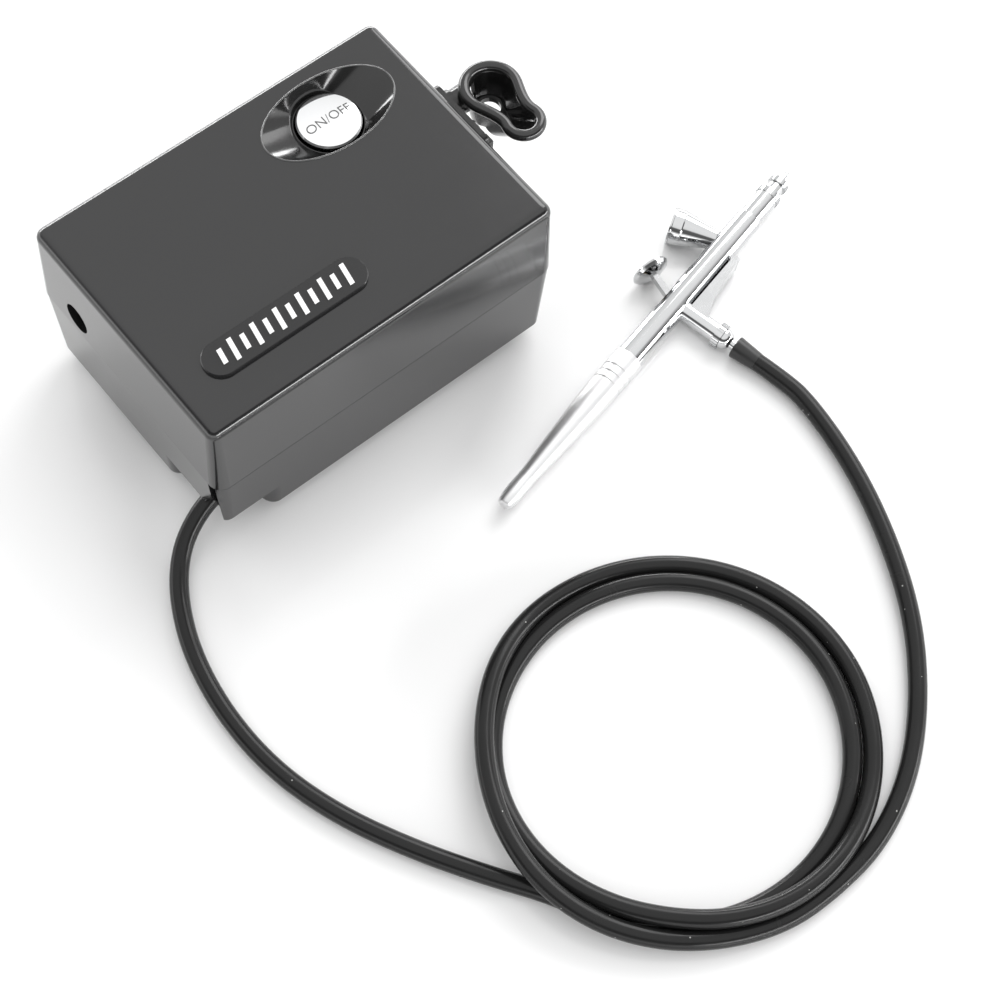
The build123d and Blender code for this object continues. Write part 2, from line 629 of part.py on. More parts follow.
def routed_tube(points, radius):
    """A tube along the route: straight runs joined by tangent arcs."""
    with BuildPart() as tube:
        with BuildLine():
            path = FilletPolyline(*points, radius=corner_radii(points))
        with BuildSketch(Plane(origin=path @ 0, z_dir=path % 0)):
            Circle(radius)
        sweep()
    return tube.part


GROMMET_X = NOTCH_X - GROMMET_REACH
INNER_X = NOTCH_X + WALL + 1.2
with BuildPart() as hose_grommet:
    with BuildSketch(Plane.YZ.offset(GROMMET_X)):
        with Locations((HOSE_Y, HOSE_Z)):
            Circle(4.4)
    extrude(amount=GROMMET_REACH)
    with BuildSketch(Plane.YZ.offset(NOTCH_X)):
        with Locations((HOSE_Y, HOSE_Z)):
            Circle(3.6)
    extrude(amount=WALL)
    with BuildSketch(Plane.YZ.offset(NOTCH_X + WALL)):
        with Locations((HOSE_Y, HOSE_Z)):
            Circle(4.4)
    extrude(amount=1.2)
    with BuildSketch(Plane.YZ.offset(GROMMET_X)):
        with Locations((HOSE_Y, HOSE_Z)):
            Circle(2.4)
    extrude(amount=INNER_X - GROMMET_X, mode=Mode.SUBTRACT)
hose_grommet.part.label = "hose_grommet"
export_step(hose_grommet.part, "parts/hose_grommet.step")

with BuildPart() as hose_joiner:
    with BuildSketch(Plane.YZ.offset(GROMMET_X)):
        with Locations((HOSE_Y, HOSE_Z)):
            Circle(2.4)
            Circle(1.2, mode=Mode.SUBTRACT)
    extrude(amount=INNER_X - GROMMET_X)
hose_joiner.part.label = "hose_joiner"
export_step(hose_joiner.part, "parts/hose_joiner.step")

air_route = [
    (-3, BARB_Y, BARB_Z), (-11, BARB_Y, BARB_Z), (-20, -14, 55.5), (-27, -22, 45), (-30.5, -29, 33),
    (-32, HOSE_Y, 22), (-35, HOSE_Y, HOSE_Z), (INNER_X, HOSE_Y, HOSE_Z),
]
air_tube = routed_tube(air_route, 2.2)
air_tube.label = "air_tube"
export_step(air_tube, "parts/air_tube.step")

wire_supply = routed_tube(
    [(BOARD_X + 1.6, 25, 44), (-34, 26.5, 45), (-10, 31, 44), (10, 31, 45), (DISH[0] - 6, DISH[1], 47)], 0.8)
wire_supply.label = "wire_supply"
export_step(wire_supply, "parts/wire_supply.step")

wire_motor = routed_tube(
    [(DISH[0] - 6, DISH[1] - 3, 46), (12, 17, 44), (-10, 13, 43.5), (-32, 8, 43), (-41, 0, 38.5),
     (MOTOR_BACK - 8, MOTOR_Y, MOTOR_Z + 8.3)], 0.8)
wire_motor.label = "wire_motor"
export_step(wire_motor, "parts/wire_motor.step")

# ---------------------------------------------------------------- airbrush frame: S along the barrel, T towards the cup
heading, pitch, roll = radians(BRUSH_HEADING), radians(BRUSH_PITCH), radians(BRUSH_ROLL)
along = Vector(cos(pitch) * cos(heading), cos(pitch) * sin(heading), sin(pitch))
across = Vector(-sin(heading), cos(heading), 0).rotate(Axis((0, 0, 0), along), BRUSH_ROLL)
brush = Plane(origin=BRUSH_TIP, x_dir=along, z_dir=along.cross(across))
barrel_axis = Axis(BRUSH_TIP, along)
valve_axis = Axis(brush.from_local_coords((VALVE_S, 0, 0)), brush.y_dir)
above_valve = Plane(origin=brush.from_local_coords((VALVE_S, 0, 0)), x_dir=brush.x_dir, z_dir=brush.y_dir)
cup_up = Vector(-sin(radians(CUP_LEAN)), cos(radians(CUP_LEAN)), 0)
cup_foot = brush.from_local_coords((CUP_S, 0, 0))
cup_dir = brush.x_dir * cup_up.X + brush.y_dir * cup_up.Y
cup_side = Plane(origin=cup_foot, x_dir=cup_dir, z_dir=brush.z_dir)
cup_axis = Axis(cup_foot, cup_dir)
trigger_dir = brush.x_dir * sin(radians(TRIGGER_LEAN)) + brush.y_dir * cos(radians(TRIGGER_LEAN))
PIVOT_T = 0.35
trigger_pivot = brush.from_local_coords((VALVE_S, PIVOT_T, 0))
trigger_side = Plane(origin=trigger_pivot, x_dir=trigger_dir, z_dir=brush.z_dir)

with BuildPart() as handle:
    with BuildSketch(brush):
        with BuildLine():
            Line((0, 0), (0, 1.2))
            Spline((0, 1.2), (0.5, 2.1), (1.6, 2.55), (11, 3.0), (22, 3.6), (32, 4.2), (42, 4.8), (52, 5.1))
            Polyline((52, 5.1), (HANDLE_LENGTH, 5.25), (HANDLE_LENGTH, 2.6), (18, 2.0), (18, 0), (0, 0))
        make_face()
        with Locations((54.7, 5.3), (57.6, 5.3), (60.5, 5.3)):
            Circle(0.42, mode=Mode.SUBTRACT)
    revolve(axis=barrel_axis)
handle.part.label = "handle"
export_step(handle.part, "parts/handle.step")

with BuildPart() as airbrush_body:
    with BuildSketch(brush):
        with BuildLine():
            Polyline(
                (HANDLE_LENGTH, BRUSH_BORE), (HANDLE_LENGTH, BODY_BACK_RADIUS - 0.2),
                (HANDLE_LENGTH + 0.2, BODY_BACK_RADIUS), (BODY_FRONT - 0.2, BODY_FRONT_RADIUS),
                (BODY_FRONT, BODY_FRONT_RADIUS - 0.2), (BODY_FRONT, 0.9), (107, 0.9), (107, BRUSH_BORE),
                close=True,
            )
        make_face()
    revolve(axis=barrel_axis)
    # seat for the valve, trigger slot, valve bore, hollow behind the cup and paint passage
    with BuildSketch(above_valve.offset(-8)):
        Circle(3.3)
    extrude(amount=5)
    with BuildSketch(above_valve):
        SlotOverall(14, 5.4)
    extrude(amount=8, mode=Mode.SUBTRACT)
    with BuildSketch(above_valve.offset(-8)):
        Circle(2.5)
    extrude(amount=8, mode=Mode.SUBTRACT)
    with BuildSketch(brush):
        with Locations((110.4, BODY_BACK_RADIUS + 4.2)):
            SlotOverall(14, 10)
    extrude(amount=6, both=True, mode=Mode.SUBTRACT)
    with BuildSketch(Plane(origin=cup_foot, x_dir=brush.z_dir, z_dir=cup_dir)):
        Circle(1.2)
    extrude(amount=8, mode=Mode.SUBTRACT)
airbrush_body.part.label = "airbrush_body"
export_step(airbrush_body.part, "parts/airbrush_body.step")

with BuildPart() as colour_cup:
    with BuildSketch(cup_side):
        with BuildLine():
            Polyline(
                (4.2, 1.2), (4.2, 3.4), (15.6, 6.1), (16.0, 6.3), (19.2, 6.3), (19.4, 6.9), (20.0, 6.9),
                (20.0, 5.8), (15.4, 5.6), (7.4, 1.2), close=True,
            )
        make_face()
    revolve(axis=cup_axis)
    with BuildSketch(brush):
        with BuildLine():
            Polyline((100, 0), (140, 0), (140, BODY_FRONT_RADIUS), (100, BODY_BACK_RADIUS - 0.05), close=True)
        make_face()
    revolve(axis=barrel_axis, mode=Mode.SUBTRACT)
colour_cup.part.label = "colour_cup"
export_step(colour_cup.part, "parts/colour_cup.step")

KNURLS = 24


def knurl_teeth(plane, start, radius, width):
    """The fine grooves of a knurled ring, to be cut across its width."""
    with BuildPart() as teeth:
        with BuildSketch(plane.offset(start)):
            with PolarLocations(radius, KNURLS):
                Rectangle(0.5, 0.42)
        extrude(amount=width)
    return teeth.part


ahead = Plane(origin=BRUSH_TIP, x_dir=brush.y_dir, z_dir=along)
with BuildPart() as nozzle_cap:
    with BuildSketch(brush):
        with BuildLine():
            Polyline(
                (BODY_FRONT, 1.0), (BODY_FRONT, 3.9), (FLANGE_S, 4.05), (FLANGE_S, 4.35), (FLANGE_S + 2.3, 4.35),
                (FLANGE_S + 2.3, 3.2), (NEEDLE_CAP_S, 2.9), (NEEDLE_CAP_S, 1.0), close=True,
            )
        make_face()
    revolve(axis=barrel_axis)
    add(knurl_teeth(ahead, FLANGE_S, 4.35, 2.3), mode=Mode.SUBTRACT)
nozzle_cap.part.label = "nozzle_cap"
export_step(nozzle_cap.part, "parts/nozzle_cap.step")

with BuildPart() as needle_cap:
    with BuildSketch(brush):
        with BuildLine():
            Polyline(
                (NEEDLE_CAP_S, 1.0), (NEEDLE_CAP_S, 3.6), (NEEDLE_CAP_S + 2.2, 3.6), (NEEDLE_CAP_S + 2.2, 1.7),
                (NEEDLE_CAP_S + 2.7, 1.5), (BRUSH_FRONT, 1.42), (BRUSH_FRONT, 1.0), close=True,
            )
        make_face()
    revolve(axis=barrel_axis)
    add(knurl_teeth(ahead, NEEDLE_CAP_S, 3.6, 2.2), mode=Mode.SUBTRACT)
needle_cap.part.label = "needle_cap"
export_step(needle_cap.part, "parts/needle_cap.step")

with BuildPart() as needle:
    with BuildSketch(brush):
        with BuildLine():
            Polyline(
                (30, 0), (30, NEEDLE_RADIUS), (143, NEEDLE_RADIUS), (BRUSH_FRONT - 0.5, 0.12), (BRUSH_FRONT - 0.5, 0),
                close=True)
        make_face()
    revolve(axis=barrel_axis)
needle.part.label = "needle"
export_step(needle.part, "parts/needle.step")

CHUCK_S, SPRING_S = 76.0, 69.0  # the chuck slides back towards the spring case
with BuildPart() as needle_chuck:
    with BuildSketch(brush):
        with BuildLine():
            Polyline(
                (CHUCK_S, NEEDLE_RADIUS), (CHUCK_S, 2.6), (CHUCK_S + 3, 2.6), (CHUCK_S + 3, 1.9),
                (VALVE_S - 2.3, 1.9), (VALVE_S - 2.3, NEEDLE_RADIUS), close=True)
        make_face()
    revolve(axis=barrel_axis)
needle_chuck.part.label = "needle_chuck"
export_step(needle_chuck.part, "parts/needle_chuck.step")

with BuildPart() as spring_case:
    with BuildSketch(brush):
        with BuildLine():
            Polyline((67.5, 0.8), (67.5, BRUSH_BORE), (SPRING_S, BRUSH_BORE), (SPRING_S, 0.8), close=True)
        make_face()
    revolve(axis=barrel_axis)
spring_case.part.label = "spring_case"
export_step(spring_case.part, "parts/spring_case.step")

# ---------------------------------------------------------------- trigger, valve and hose connection
with BuildPart() as trigger:
    with BuildSketch(trigger_side):
        with BuildLine():
            Polyline((0, -1.2), (12.9, -0.9), (12.9, 0.9), (0, 1.2))
            ThreePointArc((0, 1.2), (-1.2, 0), (0, -1.2))
        make_face()
    extrude(amount=1.4, both=True)
    # fork that straddles the needle
    with BuildSketch(trigger_side):
        Rectangle(8, 4)
    extrude(amount=0.75, both=True, mode=Mode.SUBTRACT)
    with BuildSketch(trigger_side):
        with BuildLine():
            Polyline(
                (11.65, 0), (12.05, 3.0), (13.25, 5.9), (14.25, 6.7), (14.95, 6.4), (13.55, 3.0), (12.95, 0),
                close=True)
        make_face()
    revolve(axis=Axis(trigger_pivot, trigger_dir))
trigger.part.label = "trigger"
export_step(trigger.part, "parts/trigger.step")

with BuildPart() as valve_body:
    with BuildSketch(brush):
        with BuildLine():
            Polyline(
                (VALVE_S + 2.4, -8), (VALVE_S + 3.3, -8), (VALVE_S + 3.3, -16.7), (VALVE_S + 1.3, -16.7),
                (VALVE_S + 1.3, -15), (VALVE_S + 2.4, -15), close=True)
        make_face()
    revolve(axis=valve_axis)
valve_body.part.label = "valve_body"
export_step(valve_body.part, "parts/valve_body.step")

with BuildPart() as valve_plunger:
    with BuildSketch(brush):
        with BuildLine():
            Polyline(
                (VALVE_S, -0.95), (VALVE_S + 1.0, -0.95), (VALVE_S + 1.0, -6.0), (VALVE_S + 2.3, -6.0),
                (VALVE_S + 2.3, -7.0), (VALVE_S + 1.0, -7.0), (VALVE_S + 1.0, -12), (VALVE_S, -12), close=True)
        make_face()
    revolve(axis=valve_axis)
valve_plunger.part.label = "valve_plunger"
export_step(valve_plunger.part, "parts/valve_plunger.step")

NUT_TOP, NUT_BOTTOM = -16.8, -19.3
with BuildPart() as hose_nut:
    with BuildSketch(brush):
        with BuildLine():
            Polyline(
                (VALVE_S + 2.35, NUT_TOP), (VALVE_S + 4.4, NUT_TOP), (VALVE_S + 4.4, NUT_BOTTOM),
                (VALVE_S + 2.35, NUT_BOTTOM), close=True)
        make_face()
    revolve(axis=valve_axis)
    add(knurl_teeth(above_valve, NUT_BOTTOM, 4.4, NUT_TOP - NUT_BOTTOM), mode=Mode.SUBTRACT)
hose_nut.part.label = "hose_nut"
export_step(hose_nut.part, "parts/hose_nut.step")

SLEEVE_TOP, SLEEVE_END = -24.3, -33.0
with BuildPart() as hose_stem:
    with BuildSketch(brush):
        with BuildLine():
            Polyline((VALVE_S, -15), (VALVE_S + 1.2, -15), (VALVE_S + 1.2, -16.7), (VALVE_S + 2.3, -16.7),
                     (VALVE_S + 2.3, NUT_BOTTOM - 0.1), (VALVE_S + 3.6, NUT_BOTTOM - 0.1))
            ThreePointArc((VALVE_S + 3.6, NUT_BOTTOM - 0.1), (VALVE_S + 3.1, -21.3), (VALVE_S + 1.8, -22.6))
            Polyline((VALVE_S + 1.8, -22.6), (VALVE_S + 1.8, -28), (VALVE_S, -28), (VALVE_S, -15))
        make_face()
    revolve(axis=valve_axis)
hose_stem.part.label = "hose_stem"
export_step(hose_stem.part, "parts/hose_stem.step")

with BuildPart() as hose_sleeve:
    with BuildSketch(brush):
        with BuildLine():
            Polyline(
                (VALVE_S + 1.8, SLEEVE_TOP), (VALVE_S + 3.6, SLEEVE_TOP), (VALVE_S + 3.8, SLEEVE_TOP - 0.3),
                (VALVE_S + 3.05, SLEEVE_END), (VALVE_S, SLEEVE_END), (VALVE_S, -28), (VALVE_S + 1.8, -28),
                close=True)
        make_face()
    revolve(axis=valve_axis)
hose_sleeve.part.label = "hose_sleeve"
export_step(hose_sleeve.part, "parts/hose_sleeve.step")

with BuildPart() as finger_rest:
    with BuildSketch(brush):
        with BuildLine():
            Line((VALVE_S + 1, -4.9), (VALVE_S + 1, -12))
            Spline((VALVE_S + 1, -12), (99, -10.4), (104, -8.9), (111, -7.9), (118.5, -7.3))
            ThreePointArc((118.5, -7.3), (120.3, -6.2), (118.6, -5.0))
            Line((118.6, -5.0), (VALVE_S + 1, -4.9))
        make_face()
    extrude(amount=3.2, both=True)
    with BuildSketch(above_valve.offset(-16)):
        Circle(3.3)
    extrude(amount=16, mode=Mode.SUBTRACT)
finger_rest.part.label = "finger_rest"
export_step(finger_rest.part, "parts/finger_rest.step")

# Both springs are drawn at their shortest length.
with BuildPart() as needle_spring:
    with BuildLine():
        coil = Helix(pitch=0.7, height=3.5, radius=2.1, center=brush.from_local_coords((SPRING_S + 0.25, 0, 0)),
                     direction=along)
    with BuildSketch(Plane(origin=coil @ 0, z_dir=coil % 0)):
        Circle(0.2)
    sweep(is_frenet=True)
needle_spring.part.label = "needle_spring"
export_step(needle_spring.part, "parts/needle_spring.step")

with BuildPart() as valve_spring:
    with BuildLine():
        coil = Helix(pitch=1.1, height=5.2, radius=1.75, center=brush.from_local_coords((VALVE_S, -14.6, 0)),
                     direction=brush.y_dir)
    with BuildSketch(Plane(origin=coil @ 0, z_dir=coil % 0)):
        Circle(0.25)
    sweep(is_frenet=True)
valve_spring.part.label = "valve_spring"
export_step(valve_spring.part, "parts/valve_spring.step")

# ---------------------------------------------------------------- airbrush holder
LOBE_TURN, SPOUT_TURN = 20, 16  # degrees that each lobe's arc runs past its sides, or stops short of them


def lobes(z, lobe_radius, spout_y, spout_radius):
    """Outline of the holder at one height: two round lobes joined by gently waisted sides."""
    turn, short = radians(LOBE_TURN), radians(SPOUT_TURN)
    lobe_x, lobe_y = lobe_radius * cos(turn), LOBE_Y - lobe_radius * sin(turn)
    spout_x, low_y = spout_radius * cos(short), spout_y + spout_radius * sin(short)
    with BuildSketch(Plane.XY.offset(z)) as outline:
        with BuildLine():
            ThreePointArc((HOLDER_X + lobe_x, lobe_y), (HOLDER_X, LOBE_Y + lobe_radius), (HOLDER_X - lobe_x, lobe_y))
            Spline((HOLDER_X - lobe_x, lobe_y), (HOLDER_X - spout_x, low_y),
                   tangents=((sin(turn), -cos(turn)), (-sin(short), -cos(short))))
            ThreePointArc((HOLDER_X - spout_x, low_y), (HOLDER_X, spout_y - spout_radius), (HOLDER_X + spout_x, low_y))
            Spline((HOLDER_X + spout_x, low_y), (HOLDER_X + lobe_x, lobe_y),
                   tangents=((-sin(short), cos(short)), (sin(turn), cos(turn))))
        make_face()
    return outline.sketch


ring_lobe, ring_spout = LOBE_RADIUS - RIM_RADIUS, SPOUT_RADIUS - RIM_RADIUS
with BuildPart() as holder_cradle:
    add(lobes(RIM_Z, ring_lobe + 0.6, SPOUT_Y, ring_spout + 0.6))
    add(lobes(CRADLE_BOTTOM, 6.4, LOBE_Y - 6, 5.2))
    loft()
    add(lobes(RIM_Z + 0.01, ring_lobe - CRADLE_WALL + 0.6, SPOUT_Y, ring_spout - CRADLE_WALL + 0.6))
    add(lobes(CRADLE_BOTTOM + 2, 6.4 - CRADLE_WALL, LOBE_Y - 6, 5.2 - CRADLE_WALL))
    loft(mode=Mode.SUBTRACT)
    with BuildSketch(Plane.XY.offset(CRADLE_BOTTOM - 1)):
        with Locations((HOLDER_X, LOBE_Y)):
            Circle(3.6)
    extrude(amount=5, mode=Mode.SUBTRACT)
    rim_path = lobes(RIM_Z, ring_lobe, SPOUT_Y, ring_spout).face().outer_wire()
    with BuildSketch(Plane(origin=rim_path @ 0, z_dir=rim_path % 0)):
        Circle(RIM_RADIUS)
    sweep(path=rim_path)
    with BuildSketch(Plane.YZ.offset(PIVOT_FACE + 0.2)):
        with Locations((PIVOT_Y, PIVOT_Z)):
            Circle(4.6)
    extrude(amount=PIVOT_SEAT - PIVOT_FACE - 0.2)
    with BuildSketch(Plane.YZ.offset(PIVOT_SEAT)):
        with Locations((PIVOT_Y, PIVOT_Z)):
            Circle(3.2)
    extrude(amount=4, mode=Mode.SUBTRACT)
    with BuildSketch(Plane.YZ.offset(60)):
        with Locations((PIVOT_Y, PIVOT_Z)):
            Circle(1.5 + RUNNING)
    extrude(amount=16, mode=Mode.SUBTRACT)
holder_cradle.part.label = "holder_cradle"
export_step(holder_cradle.part, "parts/holder_cradle.step")

with BuildPart() as holder_bracket:
    with BuildSketch(Plane.YZ.offset(BRACKET_X)):
        with Locations((3.6, 61)):
            RectangleRounded(26.8, 10, 3)
    extrude(amount=67.2 - BRACKET_X)
    with BuildSketch(Plane.YZ.offset(BRACKET_X)):
        with Locations((PIVOT_Y, PIVOT_Z)):
            Circle(5.2)
    extrude(amount=PIVOT_FACE - BRACKET_X)
    with BuildSketch(Plane.YZ.offset(BRACKET_X)):
        with Locations((-8, 60)):
            Rectangle(3.6, 6)
    extrude(amount=68.8 - BRACKET_X)
    with BuildSketch(Plane.YZ.offset(BRACKET_X)):
        with Locations((HOLDER_SCREW_Y, 61), (PIVOT_Y, PIVOT_Z)):
            Circle(1.5)
    extrude(amount=10, mode=Mode.SUBTRACT)
    # the back follows the draft of the lid's wall
    with BuildSketch(Plane.XZ):
        with BuildLine():
            Polyline((BRACKET_X - 1, 50), (lid_wall_x(50), 50), (lid_wall_x(70), 70), (BRACKET_X - 1, 70), close=True)
        make_face()
    extrude(amount=40, both=True, mode=Mode.SUBTRACT)
holder_bracket.part.label = "holder_bracket"
export_step(holder_bracket.part, "parts/holder_bracket.step")

with BuildPart() as holder_screw:
    with BuildSketch(Plane.YZ.offset(BRACKET_X - 6)):
        with Locations((HOLDER_SCREW_Y, 61)):
            Circle(1.45)
    extrude(amount=67.2 - BRACKET_X + 6)
    with BuildSketch(Plane.YZ.offset(67.2)):
        with Locations((HOLDER_SCREW_Y, 61)):
            Circle(2.7)
    extrude(amount=1.5)
holder_screw.part.label = "holder_screw"
export_step(holder_screw.part, "parts/holder_screw.step")

with BuildPart() as holder_pivot:
    with BuildSketch(Plane.YZ.offset(BRACKET_X - 6)):
        with Locations((PIVOT_Y, PIVOT_Z)):
            Circle(1.48)
    extrude(amount=PIVOT_SEAT + 0.15 - BRACKET_X + 6)
    with BuildSketch(Plane.YZ.offset(PIVOT_SEAT + 0.15)):
        with Locations((PIVOT_Y, PIVOT_Z)):
            Circle(2.8)
    extrude(amount=1.5)
holder_pivot.part.label = "holder_pivot"
export_step(holder_pivot.part, "parts/holder_pivot.step")

# ---------------------------------------------------------------- hose on the table
sleeve_end = brush.from_local_coords((VALVE_S, SLEEVE_END, 0))
before_sleeve = brush.from_local_coords((VALVE_S, SLEEVE_END - 9.5, 0))
before_sleeve.Z = max(before_sleeve.Z, HOSE_RADIUS)
lead_route = HOSE_LEAD + [tuple(before_sleeve), tuple(sleeve_end)]

hose_tail = routed_tube(HOSE_TAIL, HOSE_RADIUS)
hose_tail.label = "hose_tail"
export_step(hose_tail, "parts/hose_tail.step")

hose_lead = routed_tube(lead_route, HOSE_RADIUS)
hose_lead.label = "hose_lead"
export_step(hose_lead, "parts/hose_lead.step")

with BuildPart() as hose_coil:
    with BuildSketch():
        with Locations(COIL_CENTRE):
            Circle(COIL_OUTER)
            Circle(COIL_INNER, mode=Mode.SUBTRACT)
    extrude(amount=COIL_HEIGHT)
hose_coil.part.label = "hose_coil"
export_step(hose_coil.part, "parts/hose_coil.step")

for name, route in (("tail", HOSE_TAIL), ("lead", lead_route), ("air tube", air_route)):
    print(name, "arc radii", [round(radius, 1) for radius in corner_radii(route)])
for name, tube, route, radius in (("tail", hose_tail, HOSE_TAIL, 3.0), ("lead", hose_lead, lead_route, 3.0)):
    print(name, "length from volume", round(tube.volume / (3.14159265 * radius**2), 1))
print("sleeve end", sleeve_end, "before", before_sleeve)
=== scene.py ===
"""Looks of the airbrush compressor, laid out as a Blender add-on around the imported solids."""

import math

import bmesh
import bpy
from bpy.props import FloatProperty, FloatVectorProperty, PointerProperty, StringProperty
from mathutils import Matrix, Vector


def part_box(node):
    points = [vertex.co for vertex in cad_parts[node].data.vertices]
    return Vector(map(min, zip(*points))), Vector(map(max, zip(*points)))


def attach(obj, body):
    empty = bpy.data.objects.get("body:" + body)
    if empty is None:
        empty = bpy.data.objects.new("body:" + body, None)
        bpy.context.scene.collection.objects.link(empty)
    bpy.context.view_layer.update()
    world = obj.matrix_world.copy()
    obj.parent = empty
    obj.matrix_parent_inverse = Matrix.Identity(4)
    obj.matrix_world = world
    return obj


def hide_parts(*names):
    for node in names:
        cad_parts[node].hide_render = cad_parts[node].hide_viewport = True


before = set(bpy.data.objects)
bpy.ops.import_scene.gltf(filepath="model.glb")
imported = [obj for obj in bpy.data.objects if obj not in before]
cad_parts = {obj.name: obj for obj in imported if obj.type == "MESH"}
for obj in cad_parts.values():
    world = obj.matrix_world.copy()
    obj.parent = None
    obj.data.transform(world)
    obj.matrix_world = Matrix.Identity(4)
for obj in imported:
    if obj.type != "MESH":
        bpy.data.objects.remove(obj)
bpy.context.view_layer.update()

bl_info = {
    "name": "Airbrush compressor",
    "version": (1, 0, 0),
    "blender": (4, 5, 0),
    "location": "View3D > Sidebar > Compressor",
    "description": "Finishes, hose, badge and lettering of a desk airbrush compressor",
    "category": "Object",
}

MM = 0.001
COAT_ROUGHNESS = 0.06
CASE = "case_and_airbrush"

# Direction that the airbrush's barrel points in, for the turning marks on its parts.
HEADING, PITCH = math.radians(13.28), math.radians(0.47)
ALONG = Vector((
    math.cos(PITCH) * math.cos(HEADING), math.cos(PITCH) * math.sin(HEADING), math.sin(PITCH)))

# Route of the hose in millimetres: both free lengths as corner points, and the coil as rows of angle in
# degrees, radius and height.
HOSE_TAIL = [
    (-49.4, -32, 12.5), (-57.5, -32, 12.5), (-68, -34, 8.8), (-77.5, -39, 4.3), (-86.5, -50.5, 3),
    (-94, -68, 3), (-97.8, -90, 3), (-96.9, -113, 3), (-90.6, -135.5, 3), (-80, -157.5, 3),
    (-67.5, -178, 3), (-57, -193, 3),
]
HOSE_LEAD = [
    (6, -243.6, 3), (28, -242, 3), (50, -232.6, 3), (69.5, -216.8, 3), (87, -196, 3), (100, -171, 3),
    (109, -145, 3), (113.3, -119, 3), (112.156, -107.855, 3), (109.973, -98.628, 3.468),
]
COIL_CENTRE = (2.0, -184.0)
COIL_TURNS = [
    (-152, 56.4, 3), (-133, 53.2, 3), (-104, 51.3, 3), (-72, 50.4, 3), (-39, 51.0, 3),
    (-8, 53.1, 3), (22, 54.6, 3), (50, 55.6, 3), (79, 55.9, 3), (110, 56.6, 3),
    (142, 57.0, 3.1), (157, 56.6, 4.2), (172, 56.0, 6.3), (187, 55.3, 8.3), (200, 54.3, 9.1),
    (213, 53.4, 9.1), (226, 52.9, 9.1), (240, 53.7, 9.1), (255, 54.8, 8.6), (271, 55.4, 7.8),
    (288, 56.0, 5.6), (305, 56.7, 3.6), (321, 57.4, 3), (352, 59.5, 3), (381, 60.5, 3),
    (410, 61.2, 3), (439, 61.8, 3), (455, 62.0, 3.8), (470, 61.4, 6.9), (487, 60.0, 8.6),
    (503, 59.3, 9.4), (519, 59.4, 10.2), (533, 60.4, 11.0), (547, 61.1, 11.2), (560, 60.8, 9.8),
    (573, 59.8, 7.8), (587, 58.7, 6.0), (604, 58.0, 4.4), (618, 58.6, 3.4),
]
COIL_STEP = 18  # degrees between control points

# Light all round, by the height of its direction: a dome that brightens upwards, a bright band at the horizon,
# and a dark flag between them, in front and to the left, that draws grey stripes on the plated parts and dark
# lines along the case's rounded edges.
DOME_FROM, DOME_TO = 0.2, 0.9
DOME_LOW, DOME_HIGH = 0.85, 1.3
HORIZON_TOP, HORIZON_FULL = 0.26, 0.14
HORIZON_GLOW = 1.6
FLAG_DIRECTION = (-0.6, -0.8, 0)
FLAG_LOW, FLAG_HIGH, FLAG_DEPTH = 0.38, 0.66, 0.85
FLAG_FADE_LOW, FLAG_FADE_HIGH = 0.08, 0.1
FLAG_SIDE_FROM, FLAG_SIDE_TO = -0.1, 0.2

# Half sizes of the oval dish, and the bead that runs round its mouth.
OVAL_LONG, OVAL_SHORT = 0.0237, 0.01385
BEAD_RADIUS, BEAD_INSET = 0.00032, 0.0003

# The push button's dome in millimetres, and how far its letters stand up from it and reach into it, in
# metres.
BUTTON_RIM, BUTTON_CROWN, DOME_REACH = 68.2, 69.2, 9.8
LETTER_RAISE, LETTER_SINK = 0.00009, 0.00006

# Where the camera stands: azimuth, elevation and roll in degrees, what it looks at, and from how far.
CAMERA_TURN = (-44.03, 63.43, 5.13)
CAMERA_TARGET = Vector((0.0134, -0.0843, 0))
CAMERA_DISTANCE = 0.7183

# ---------------------------------------------------------------- settings


class CompressorFinish(bpy.types.PropertyGroup):
    case_colour: FloatVectorProperty(
        name="Case", description="Colour of the case plastic", subtype="COLOR", size=3, min=0, max=1,
        default=(0.012, 0.012, 0.0125))
    case_roughness: FloatProperty(
        name="Case roughness", description="How satin the case plastic is", default=0.12, min=0, max=1)
    gloss_colour: FloatVectorProperty(
        name="Gloss black", description="Colour of the dish and the holder", subtype="COLOR", size=3, min=0,
        max=1, default=(0.012, 0.012, 0.012))
    chrome_colour: FloatVectorProperty(
        name="Chrome", description="Colour of the plated parts", subtype="COLOR", size=3, min=0, max=1,
        default=(0.6, 0.605, 0.61))
    button_colour: FloatVectorProperty(
        name="Button", description="Colour of the plated push button", subtype="COLOR", size=3, min=0, max=1,
        default=(0.86, 0.865, 0.87))
    handle_colour: FloatVectorProperty(
        name="Handle", description="Colour of the satin aluminium handle", subtype="COLOR", size=3, min=0,
        max=1, default=(0.72, 0.72, 0.725))


class CompressorHose(bpy.types.PropertyGroup):
    diameter: FloatProperty(
        name="Diameter", description="Outside diameter of the hose", default=0.006, min=0.003, max=0.012,
        unit="LENGTH")
    length: FloatProperty(
        name="Length", description="Real length of the hose", default=1.2, min=0.5, max=3, unit="LENGTH")
    colour: FloatVectorProperty(
        name="Rubber", description="Colour of the hose rubber", subtype="COLOR", size=3, min=0, max=1,
        default=(0.012, 0.012, 0.012))


class CompressorLettering(bpy.types.PropertyGroup):
    text: StringProperty(name="Text", description="Generic lettering on the push button", default="ON/OFF")
    height: FloatProperty(
        name="Height", description="Size of the button's lettering", default=0.0032, min=0.001, max=0.01,
        unit="LENGTH")


